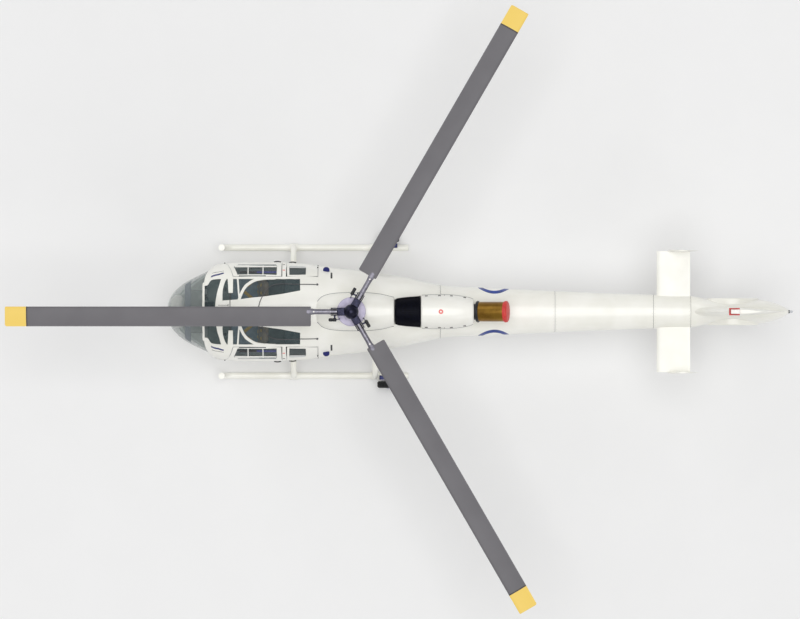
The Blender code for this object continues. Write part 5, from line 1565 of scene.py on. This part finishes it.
def make_seats():
    settings = bpy.context.scene.heli_cabin
    brown = leather("brown seat leather", "85745F", "9A8870")
    grey = weave("blue-grey seat cloth", "8496A3", "97A8B4")
    cap = settings.pad_swell
    for name, side in SIDES:
        y = side * SEAT_Y
        low, high = y - SEAT_HALF_WIDTH, y + SEAT_HALF_WIDTH
        base = soft_block(f"seat_{name}_box", (-1.80, low + 0.02, FLOOR_Z + 0.001), (-1.40, high - 0.02, 0.886), 0.012)
        dress(smooth(base), "airframe", get_finish("trim"), [f"seat_{name}"])
        cushion = pad("cushion", 0.49, 0.42, 0.085, 0.012)
        stand(cushion, Matrix.Translation((-1.61, y, 0.892)))
        cushion = puffed(cushion, cap)
        cushion.name = f"seat_{name}_cushion"
        set_pad(cushion, grey)
        lean = Matrix.Translation((-1.40, y, 0.91)) @ Matrix.Rotation(radians(9), 4, "Y")
        lay = Matrix.Translation((0.040, 0, 0.275)) @ Matrix.Rotation(-pi / 2, 4, "Y")
        back = puffed(stand(pad("back", 0.53, 0.42, 0.075, 0.012), lean @ lay), cap)
        back.name = f"seat_{name}_back"
        set_pad(back, brown)
        lay = Matrix.Translation((0.036, 0, 0.595)) @ Matrix.Rotation(-pi / 2, 4, "Y")
        head = puffed(stand(pad("head", 0.145, 0.23, 0.066, 0.008), lean @ lay), cap * 0.6)
        head.name = f"seat_{name}_headrest"
        set_pad(head, brown)
        shell = soft_block(
            f"seat_{name}_shell", (0.028, -0.20, -0.02), (0.052, 0.20, 0.56), 0.010, place=TO_FRAME @ lean)
        dress(smooth(shell), "airframe", get_finish("trim"))


def make_bench():
    settings = bpy.context.scene.heli_cabin
    cloth = weave("green-grey woven bench cloth", "6E7F7F", "7F9090")
    rest = weave("pale blue-grey bench back cloth", "93A8AE", "A3B7BD")
    base = soft_block("rear_bench_box", (-1.02, -0.56, FLOOR_Z + 0.001), (-0.56, 0.56, 0.872), 0.012)
    dress(smooth(base), "airframe", get_finish("trim"), ["rear_bench"])
    for k, y in enumerate((-0.375, 0.0, 0.375)):
        cushion = stand(pad("bench", 0.43, 0.365, 0.09, 0.012), Matrix.Translation((-0.83, y, 0.878)))
        cushion = puffed(cushion, settings.pad_swell)
        cushion.name = f"bench_cushion_{k + 1}"
        set_pad(cushion, cloth)
        lean = Matrix.Translation((-0.645, y * 0.94, 0.90)) @ Matrix.Rotation(radians(6), 4, "Y")
        lay = Matrix.Translation((0.040, 0, 0.255)) @ Matrix.Rotation(-pi / 2, 4, "Y")
        back = puffed(stand(pad("bench back", 0.48, 0.335, 0.07, 0.010), lean @ lay), settings.pad_swell)
        back.name = f"bench_back_{k + 1}"
        set_pad(back, rest)


def kept_inside(piece, margin):
    """Pulls in any vertex that would stand through the hull."""
    places = np.array([TO_MAST @ v.co for v in piece.data.vertices])
    depth, _ = hull_depth(places)
    moved = onto_hull(places, margin)
    for vertex, deep, place in zip(piece.data.vertices, depth, moved):
        if deep < margin:
            vertex.co = TO_FRAME @ Vector(place)
    return piece


def make_floor():
    """The mat under the crew's feet and a white dome inside the nose."""
    mat = soft_block("floor_mat", (-2.232, -0.560, FLOOR_Z + 0.0005), (-0.53, 0.560, FLOOR_Z + 0.009), 0.003)
    dress(smooth(kept_inside(mat, 0.030)), "airframe", get_finish("mat"))
    bm = bmesh.new()
    rings = []
    for i in range(1, 13):
        rise = pi / 2 * i / 12
        ring = []
        for k in range(48):
            x, y = superellipse(2 * pi * k / 48, 3.0)
            share = sin(rise)
            ring.append(Vector((-2.655 + x * 0.115 * share, y * 0.25 * share, 0.96 + 0.13 * cos(rise))))
        rings.append(ring)
    loft(bm, rings)
    cover = kept_inside(make_piece("nose_cover", bm), 0.034)
    dress(smooth(cover, 60), "airframe", get_finish("white_and_painted_highlight"))


def make_panel():
    trim, handle = get_finish("trim"), get_finish("handle")
    box = soft_block("instrument_box", (-2.475, -0.33, 0.985), (-2.268, 0.33, 1.185), 0.018)
    dress(smooth(box), "airframe", trim, ["instrument_panel"])
    rings = []
    for y in spaced(-0.485, 0.485, 21):
        tall = 0.026 * (1 - 0.5 * (abs(y) / 0.485) ** 4)
        ring = []
        for i in range(24):
            x, z = superellipse(2 * pi * i / 24, 3.0)
            ring.append(Vector((-2.495 + 0.048 * x, y, 1.183 + tall * z)))
        rings.append(ring)
    bm = bmesh.new()
    loft(bm, rings)
    coaming = kept_inside(make_piece("coaming", bm), 0.030)
    dress(smooth(coaming, 50), "airframe", get_finish("coaming"))
    side = eased([(-2.3, 0.7006), (-2.12, 0.7006), (-2.10, 0.86), (-2.25, 1.02), (-2.50, 1.02),
                  (-2.50, 0.7006), (-2.301, 0.7006)], 0.02)
    bm = bmesh.new()
    loft(bm, [[Vector((x, y, z)) for x, z in side] for y in (-0.145, 0.145)])
    dress(smooth(make_piece("pedestal", bm)), "airframe", trim)
    dials = []
    for row, z in enumerate((1.135, 1.055)):
        for k in range(6 if row == 0 else 4):
            y = (k - (2.5 if row == 0 else 1.5)) * 0.098
            dials.append(turned("dial", eased([
                (0.001, 0.0), (0.040, 0.0), (0.040, 0.006), (0.034, 0.006), (0.033, 0.002), (0.001, 0.002),
            ], 0.0015), "X", 32, (-2.268, y, z)))
    dress(smooth(joined("blank_dials", dials)), "airframe", handle)


def make_controls():
    handle, trim = get_finish("handle"), get_finish("trim")
    tube_z = FLOOR_Z + 0.022
    cross = tube("cyclic_cross_tube", [(-1.98, y, tube_z) for y in (-0.37, 0.0, 0.37)], 0.020, 24)
    dress(smooth(cross), "airframe", trim, ["cyclic_sticks"])
    for name, side in SIDES:
        y = side * SEAT_Y
        path = through([(-1.98, y, tube_z), (-2.02, y, 0.86), (-2.01, y, 1.02), (-1.955, y, 1.13),
                        (-1.93, y, 1.21)], 24)
        stick = tube("stick", path, 0.012, 16)
        grip = tube("grip", through([(-1.942, y, 1.185), (-1.93, y, 1.235), (-1.917, y, 1.30)], 9),
                    [0.014, 0.021, 0.022, 0.019, 0.021, 0.022, 0.024, 0.024, 0.016], 20)
        dress(smooth(joined(f"cyclic_{name}", [stick, grip])), "airframe", handle)
    start = -1.335
    cross = tube("collective_cross_tube", [(start, y, tube_z) for y in (-0.60, -0.2, 0.12)], 0.018, 24)
    dress(smooth(cross), "airframe", trim, ["collective_levers"])
    levers = ((-SEAT_Y - SEAT_HALF_WIDTH - 0.032), (SEAT_Y - SEAT_HALF_WIDTH - 0.040))
    for n, y in enumerate(levers, 1):
        lever = tube("lever", [(start, y, tube_z), (-1.57, y, 0.854), (-1.80, y, 0.985)], 0.012, 16)
        grip = tube("grip", [(-1.76, y, 0.963), (-1.765, y, 0.966), (-1.83, y, 1.002), (-1.89, y, 1.036),
                             (-1.90, y, 1.042)], [0.013, 0.020, 0.018, 0.020, 0.014], 20)
        dress(smooth(joined(f"collective_{n}", [lever, grip])), "airframe", handle)
    shaft = FLOOR_Z + 0.020
    parts = [tube("shaft", [(-2.19, y, shaft) for y in (0.17, 0.3, 0.42)], 0.016, 20)]
    for y in (0.22, 0.39):
        parts.append(tube("arm", [(-2.19, y, shaft), (-2.21, y, 0.79), (-2.225, y, 0.87)], 0.009, 12))
        parts.append(soft_block("pad", (-2.245, y - 0.045, 0.835), (-2.215, y + 0.045, 0.925), 0.008))
    dress(smooth(joined("pedals", parts)), "airframe", handle, ["rudder_pedals"])


# Trim

def plan_path(points, side=1):
    """Points on the upper skin, from places seen from above."""
    return [over_plan(x, side * y) for x, y in points]


def strip(name, path, width, key, body="airframe", slot="white_paint", **options):
    return dress(smooth(hull_ribbon(name, path, width, **options)), body, get_finish(key))


def disc_on(name, centre, outward, profile, key, body, sides=48):
    """A small turned fitting that stands on a surface."""
    turn = Vector(outward).to_track_quat("Z", "Y").to_matrix().to_4x4()
    place = TO_FRAME @ Matrix.Translation(centre) @ turn
    return dress(smooth(turned(name, profile, sides=sides, place=place)), body, get_finish(key))


RING_CENTRE = (2.165, 1.39)
RING_RADIUS = 0.200


def make_stripes():
    """Coach lines on the cheeks and the plain blue ring on each side of the boom."""
    for name, side in SIDES:
        strip(f"cheek_stripe_{name}", plan_path(((-2.136, 0.532), (-2.03, 0.563), (-1.944, 0.588)), side),
              0.040, "navy")
        strip(f"cheek_line_{name}", plan_path(((-2.123, 0.583), (-2.03, 0.602), (-1.945, 0.618)), side),
              0.009, "seam")
        ring = []
        for i in range(60):
            t = 2 * pi * i / 60
            ring.append(beside(RING_CENTRE[0] + RING_RADIUS * cos(t), RING_CENTRE[1] + RING_RADIUS * sin(t), side))
        strip(f"boom_ring_{name}", ring, 0.080, "blue", closed=True, spread=0.02)


WINDOW_RAIL_Y = 0.6075


def make_door_trim():
    """Window rails, frames, handles and hinges. The hinges ride on the airframe and the rest on the doors."""
    for name, side in SIDES:
        front, rear = f"front_door_{name}", f"rear_door_{name}"
        for part, start, end, key in (("front", -1.700, -1.440, "black_film"), ("rear", -1.440, -1.141, "navy")):
            path = plan_path([(x, WINDOW_RAIL_Y) for x in spaced(start, end, 8)], side)
            strip(f"window_rail_{part}_{name}", path, 0.050, key, front, "control_black", inset=0.006)
        for number, x in enumerate((-1.573, -1.345), 1):
            path = plan_path([(x, y) for y in spaced(0.560, 0.704, 10)], side)
            strip(f"window_post_{number}_{name}", path, 0.016, "paint", front, inset=0.004, lift=0.003)
        path = plan_path([(x, 0.6905) for x in spaced(-1.775, -1.141, 16)], side)
        strip(f"window_sill_{name}", path, 0.058, "paint", front, inset=0.002)
        path = plan_path([(x, min(0.716, float(hull_wide(x)) - 0.014)) for x in spaced(-1.73, -1.145, 12)], side)
        strip(f"door_belt_line_{name}", path, 0.030, "grey_line", front, lift=0.002)
        path = plan_path([(x, 0.5445) for x in spaced(-1.712, -1.30, 14)], side)
        strip(f"window_border_{name}", path, 0.020, "film_dark", front)
        # A pale grey band outboard of each rear window, where the skin turns away: painted shade
        path = plan_path([(x, 0.684) for x in spaced(-0.945, -0.695, 8)], side)
        strip(f"rear_window_step_{name}", path, 0.100, "painted_shade_grey", rear, inset=0.003)
        for door, x, z in ((front, -1.13, 1.00), (rear, -0.90, 1.00)):
            spot = beside(x, z, side)
            out = Vector(hull_depth(np.array([spot]))[1][0])
            along = Vector((1, 0, 0))
            ends = [spot - along * 0.055 + out * 0.004, spot + out * 0.013, spot + along * 0.055 + out * 0.004]
            grip = tube("grip", through(ends, 13), 0.009, 16, squash=0.7)
            handle = smooth(joined(f"{door}_handle", [grip]))
            dress(handle, door, get_finish("handle"))
        for door, x, heights in ((front, -1.934, (0.83, 1.05)), (rear, -0.513, (0.90, 1.40))):
            knuckles = []
            for z in heights:
                spot = beside(x, z, side)
                path = [spot + Vector((0, side * 0.003, dz)) for dz in (-0.035, -0.012, 0.012, 0.035)]
                knuckles.append(tube("knuckle", path, 0.010, 16))
            dress(smooth(joined(f"{door}_hinges", knuckles)), "airframe", get_finish("handle"))


DRIP_RAIL = (
    (-1.407, 0.077), (-1.388, 0.150), (-1.350, 0.232), (-1.315, 0.292), (-1.273, 0.347), (-1.230, 0.382),
    (-1.176, 0.406), (-1.110, 0.417), (-1.039, 0.421), (-0.847, 0.415), (-0.518, 0.409),
)


def make_roof_trim():
    """What lies on the roof behind the glazing: drip rails, filler caps, vents and a wiring strip."""
    for name, side in SIDES:
        rail = through(plan_path(DRIP_RAIL, side), 40)
        lifted = [Vector(p) for p in onto_hull(rail, -0.004)]
        dress(smooth(tube(f"drip_rail_{name}", lifted, 0.0065, 12)), "airframe", get_finish("seam"))
        end = lifted[-1]
        disc_on(f"drip_rail_end_{name}", end - Vector((0, 0, 0.006)), (0, side * 0.2, 1), eased([
            (0, 0), (0.017, 0), (0.017, 0.010), (0.0, 0.012)], 0.004), "seam", "airframe", 24)
        spot = over_plan(-0.383, side * 0.624)
        disc_on(f"filler_cap_{name}", spot, (0, side * 0.45, 0.9), [(0, -0.03), (0.050, -0.03), *eased([
            (0.050, -0.03), (0.050, 0.030), (0.042, 0.035), (0.012, 0.035)], 0.004)[1:], (0, 0.035)],
            "cap_blue", "airframe", 64)
        strip(f"roof_vent_{name}", plan_path([(-0.303, y) for y in spaced(0.506, 0.592, 6)], side),
              0.029, "black_film", lift=0.002)
        for number, (y, key) in enumerate(((0.715, "seam"), (0.632, "cap_pink")), 1):
            path = plan_path([(-1.047, y), (-1.009, y)], side)
            strip(f"post_catch_{number}_{name}", path, 0.022, key, lift=0.003)
        strip(f"roof_cable_{name}", plan_path(((-2.027, 0.098), (-1.95, 0.098), (-1.876, 0.098)), side),
              0.007, "seam")
        strip(f"roof_cable_tick_{name}", plan_path(((-1.874, 0.082), (-1.874, 0.115)), side), 0.010, "seam")
    crossing = plan_path([(-1.844, y) for y in spaced(-0.283, 0.283, 24)])
    strip("roof_cable_crossing", crossing, 0.012, "seam", lift=0.003)
    top = float(arch_lines(COWLING_SECTIONS)[1](1.361))
    disc_on("oil_cap", (1.361, 0, top - 0.006), (0, 0, 1), eased([
        (0, 0), (0.036, 0), (0.036, 0.010), (0.028, 0.012), (0, 0.012)], 0.003), "cap_pink",
        "airframe", 48)
    # The white spot in the middle of the red cap is a painted highlight
    disc_on("oil_cap_core", (1.361, 0, top + 0.0045), (0, 0, 1), eased([
        (0, 0), (0.013, 0), (0.013, 0.004), (0, 0.004)], 0.001), "white_and_painted_highlight", "airframe", 32)


def foot_line(sections, first, last, count=40):
    """Where an arched fairing meets the deck on the starboard side."""
    lines = arch_lines(sections)
    stations = spaced(first, last, count)
    low, high = np.zeros(count), np.full(count, pi / 2)
    for _ in range(18):
        middle = (low + high) / 2
        points = np.array([arch_point(lines, x, t) for x, t in zip(stations, middle)])
        inside = hull_depth(points)[0] > 0
        low, high = np.where(inside, middle, low), np.where(inside, high, middle)
    return [arch_point(lines, x, t) for x, t in zip(stations, low)]


def make_seals():
    """The bedding seals along the feet of the mast fairing and the engine cowling."""
    for fairing, sections, first, last in (
        ("mast_fairing", FAIRING_SECTIONS, -0.515, 0.645), ("cowling", COWLING_SECTIONS, 1.075, 1.85),
    ):
        foot = foot_line(sections, first, last)
        for name, side in SIDES:
            path = [Vector((p.x, p.y * side, p.z)) for p in foot]
            dress(smooth(tube(f"{fairing}_seal_{name}", path, 0.0055, 10)), "airframe",
                  get_finish("grey_line"))


def hull_ring(x, steps=96, lift=0.0):
    turns = [2 * pi * i / steps for i in range(steps)]
    places = []
    for t in turns:
        y = cos(t) * float(hull_wide(x))
        z = float(hull_waist(x)) + sin(t) * float(hull_top(x) - hull_belly(x)) / 2
        places.append((x, y, z))
    return [Vector(p) for p in onto_hull(onto_hull(places), -lift)]


def rivet_shape(radius):
    return turned("rivet", [(0, -0.002), (radius, -0.002), (radius * 0.85, radius * 0.22), (0, radius * 0.35)],
                  sides=8, place=Matrix.Identity(4))


# Real rivets are 4 mm across and 25 mm apart; they are drawn larger and wider apart, to show.
RIVET_RADIUS = 0.006


def rivet_rows(name, paths, key, body="airframe", closed=False):
    settings = bpy.context.scene.heli_trim
    ups = []
    for path in paths:
        _, out = hull_depth(np.array([tuple(p) for p in path]))
        ups.append([tuple(o) for o in out])
    rows = copies(name, rivet_shape(RIVET_RADIUS), paths, ups, settings.rivet_spacing,
                  get_finish(key), closed=closed)
    return dress(rows, body, None)


BOOM_JOINTS = (1.351, 3.10, 4.60, 5.169)


def make_seams():
    for number, x in enumerate(BOOM_JOINTS, 1):
        strip(f"boom_joint_{number}", hull_ring(x), 0.005, "seam", closed=True, lift=0.0004)
    rings = []
    for x in BOOM_JOINTS:
        rings += [hull_ring(x - 0.022), hull_ring(x + 0.022)] if x < 5.1 else [hull_ring(x - 0.022)]
    rivet_rows("boom_rivets", rings, "paint_rivet", closed=True)
    lines = arch_lines(COWLING_SECTIONS)
    sides = [0.10, 0.42], [pi - 0.42, pi - 0.10]
    seams = [[arch_point(lines, 1.415, t, 0.0004) for t in spaced(*span, 12)] for span in sides]
    dress(wires("cowling_seams", seams, 0.006, get_finish("seam")), "airframe", None)
    latches = []
    for x in (1.14, 1.34, 1.52, 1.72):
        for turn in (0.42, pi - 0.42):
            spot = arch_point(lines, x, turn)
            side = 1 if spot.y > 0 else -1
            if spot.z < over_plan(x, spot.y).z + 0.02:
                spot = arch_point(lines, x, turn + side * 0.2)
            latches.append(soft_block("latch", spot + Vector((-0.022, -0.009, -0.012)),
                                      spot + Vector((0.022, 0.009, 0.012)), 0.004))
    dress(smooth(joined("cowling_latches", latches)), "airframe", get_finish("handle"))


STRAP_THICKNESS = 0.12


def make_harness():
    """Lap and shoulder straps laid over the crew seats."""
    for name, side in SIDES:
        centre = side * SEAT_Y
        straps = []
        for outer, start, end in ((side, 0.075, 0.165), (-side, 0.105, 0.185)):
            path = through([
                (-1.635, centre + outer * start * 0.4, 1.004), (-1.56, centre + outer * start, 1.005),
                (-1.47, centre + outer * end, 1.000), (-1.415, centre + outer * (end + 0.03), 0.96),
            ], 14)
            straps.append(tube("strap", path, 0.023, 16, squash=STRAP_THICKNESS))
            lean = Matrix.Translation((-1.40, centre, 0.91)) @ Matrix.Rotation(radians(9), 4, "Y")
            shoulder = [lean @ Vector((-0.050, outer * y, z)) for y, z in
                        ((0.035, 0.08), (0.055, 0.22), (0.060, 0.38), (0.060, 0.50))]
            straps.append(tube("shoulder", through(shoulder, 12), 0.022, 16, squash=STRAP_THICKNESS,
                               up=Vector((1, 0, 0))))
        buckle = soft_block("buckle", (-1.660, centre - 0.026, 0.996), (-1.612, centre + 0.026, 1.014), 0.005)
        dress(smooth(joined(f"harness_{name}", straps)), "airframe", get_finish("yellow"))
        dress(smooth(joined(f"harness_buckle_{name}", [buckle])), "airframe", get_finish("steel"))


def dress_hidden_nodes():
    """Nodes that stay as they are, mostly inside other pieces, get their real finishes."""
    for node, key in (("engine_block", "engine"), ("main_gearbox", "engine")):
        kept = frame["nodes"][node]
        kept.data.materials.clear()
        kept.data.materials.append(get_finish(key))


# Add-on

class HeliRotorSettings(bpy.types.PropertyGroup):
    tip_band: FloatProperty(
        name="Tip band", description="Length of the coloured band at a blade's tip",
        default=0.32, min=0.05, max=1.0, unit="LENGTH",
    )
    tip_colour: FloatVectorProperty(
        name="Tip colour", description="Colour of the blade tips", subtype="COLOR", size=3,
        default=linear("F5D264")[:3], min=0, max=1,
    )


class HeliTrimSettings(bpy.types.PropertyGroup):
    rivet_spacing: FloatProperty(
        name="Rivet spacing", description="Distance between rivets along a seam",
        default=0.055, min=0.02, max=0.3, unit="LENGTH",
    )


class HeliCabinSettings(bpy.types.PropertyGroup):
    pad_swell: FloatProperty(
        name="Pad swell", description="The furthest that a seat pad's cloth may swell",
        default=0.010, min=0.0, max=0.03, unit="LENGTH",
    )


CAMERA_HEIGHT = 204.6
FLOOR_HALF = 300.0
# The main light stands straight overhead, as in the drawing, so that the blades' shadows fall
# right under them. Each is (name, direction it comes from, width in degrees, strength).
SUNS = (("overhead", (0, 0, 1), 45, 1.45), ("front_left", (-2, 2.4, 1.6), 40, 0.42),
        ("rear_right", (2, -2.4, 1.6), 40, 0.34))


def make_stage():
    bm = bmesh.new()
    bmesh.ops.create_grid(bm, x_segments=4, y_segments=4, size=FLOOR_HALF)
    floor = make_piece("studio_floor", bm, Matrix.Identity(4))
    floor.data.materials.append(finish("matt white studio floor", "F1F1F1", "F2F2F2", (0.8, 0.9), patch_mm=900))
    scene = bpy.context.scene
    lens = bpy.data.cameras.new("studio_camera")
    lens.lens = 600
    lens.sensor_width = 36
    lens.clip_end = 600
    camera = bpy.data.objects.new("studio_camera", lens)
    camera.location = (0, 0.033, CAMERA_HEIGHT)
    scene.collection.objects.link(camera)
    scene.camera = camera
    for name, place, width, strength in SUNS:
        lamp = bpy.data.lights.new(name, "SUN")
        lamp.energy = strength
        lamp.angle = radians(width)
        light = bpy.data.objects.new(name, lamp)
        light.rotation_euler = (-Vector(place)).to_track_quat("-Z", "Y").to_euler()
        scene.collection.objects.link(light)
    world = bpy.data.worlds.new("studio")
    world.use_nodes = True
    world.node_tree.nodes["Background"].inputs["Color"].default_value = (1, 1, 1, 1)
    world.node_tree.nodes["Background"].inputs["Strength"].default_value = 0.40
    scene.world = world
    scene.view_settings.view_transform = "Standard"


class HELI_OT_stage(bpy.types.Operator):
    """Makes the floor, the lights and the camera"""

    bl_idname = "heli.stage"
    bl_label = "Stage"

    def execute(self, context):
        make_stage()
        return {"FINISHED"}


class HELI_OT_hull(bpy.types.Operator):
    """Smooths the hull, the doors and the boom"""

    bl_idname = "heli.hull"
    bl_label = "Hull"

    def execute(self, context):
        make_skins()
        return {"FINISHED"}


class HELI_OT_glass(bpy.types.Operator):
    """Makes the acrylic panes"""

    bl_idname = "heli.glass"
    bl_label = "Glass"

    def execute(self, context):
        make_glass()
        return {"FINISHED"}


class HELI_OT_deck(bpy.types.Operator):
    """Makes the mast fairing, the intake, the cowling and the exhaust"""

    bl_idname = "heli.deck"
    bl_label = "Deck"

    def execute(self, context):
        make_fairing()
        make_intake()
        make_cowling()
        make_exhaust()
        return {"FINISHED"}


class HELI_OT_tail(bpy.types.Operator):
    """Makes the fin, the tailplane, the fan and their fittings"""

    bl_idname = "heli.tail"
    bl_label = "Tail"

    def execute(self, context):
        make_fin()
        make_tailplane()
        make_fan()
        make_tail_gearbox()
        make_tail_fittings()
        make_beacon()
        return {"FINISHED"}


class HELI_OT_rotor(bpy.types.Operator):
    """Makes the blades, the head and the mast"""

    bl_idname = "heli.rotor"
    bl_label = "Rotor"

    def execute(self, context):
        make_rotor()
        return {"FINISHED"}


class HELI_OT_gear(bpy.types.Operator):
    """Makes the skids, their cross tubes and the ground wheels"""

    bl_idname = "heli.gear"
    bl_label = "Gear"

    def execute(self, context):
        make_skids()
        make_cross_tubes()
        make_wheels()
        make_brackets()
        return {"FINISHED"}


class HELI_OT_cabin(bpy.types.Operator):
    """Makes the panel, the controls and the seats"""

    bl_idname = "heli.cabin"
    bl_label = "Cabin"

    def execute(self, context):
        make_floor()
        make_panel()
        make_controls()
        make_seats()
        make_bench()
        make_harness()
        return {"FINISHED"}


class HELI_OT_trim(bpy.types.Operator):
    """Makes the rails, stripes, seams, rivets and handles"""

    bl_idname = "heli.trim"
    bl_label = "Trim"

    def execute(self, context):
        make_stripes()
        make_door_trim()
        make_roof_trim()
        make_seams()
        make_seals()
        return {"FINISHED"}


class HELI_OT_hidden(bpy.types.Operator):
    """Gives the frame's kept nodes their finishes"""

    bl_idname = "heli.hidden"
    bl_label = "Hidden nodes"

    def execute(self, context):
        dress_hidden_nodes()
        return {"FINISHED"}


OPERATORS = (
    HELI_OT_stage, HELI_OT_hull, HELI_OT_glass, HELI_OT_deck, HELI_OT_tail,
    HELI_OT_rotor, HELI_OT_gear, HELI_OT_cabin, HELI_OT_trim, HELI_OT_hidden,
)


class HELI_PT_panel(bpy.types.Panel):
    """Lists the helicopter's pieces and their settings."""

    bl_label = "Helicopter"
    bl_idname = "HELI_PT_panel"
    bl_space_type = "VIEW_3D"
    bl_region_type = "UI"
    bl_category = "Helicopter"

    def draw(self, context):
        for group in (context.scene.heli_rotor, context.scene.heli_cabin, context.scene.heli_trim):
            for name in group.bl_rna.properties.keys():
                if name not in ("rna_type", "name"):
                    self.layout.prop(group, name)
        for kind in OPERATORS:
            self.layout.operator(kind.bl_idname)


CLASSES = (HeliRotorSettings, HeliCabinSettings, HeliTrimSettings, *OPERATORS, HELI_PT_panel)


def register():
    for kind in CLASSES:
        bpy.utils.register_class(kind)
    bpy.types.Scene.heli_rotor = PointerProperty(type=HeliRotorSettings)
    bpy.types.Scene.heli_cabin = PointerProperty(type=HeliCabinSettings)
    bpy.types.Scene.heli_trim = PointerProperty(type=HeliTrimSettings)


def unregister():
    del bpy.types.Scene.heli_rotor
    del bpy.types.Scene.heli_cabin
    del bpy.types.Scene.heli_trim
    for kind in reversed(CLASSES):
        bpy.utils.unregister_class(kind)


def main():
    register()
    for kind in OPERATORS:
        call = getattr(bpy.ops.heli, kind.bl_idname.split(".")[1])
        call()


if __name__ == "__main__":
    main()
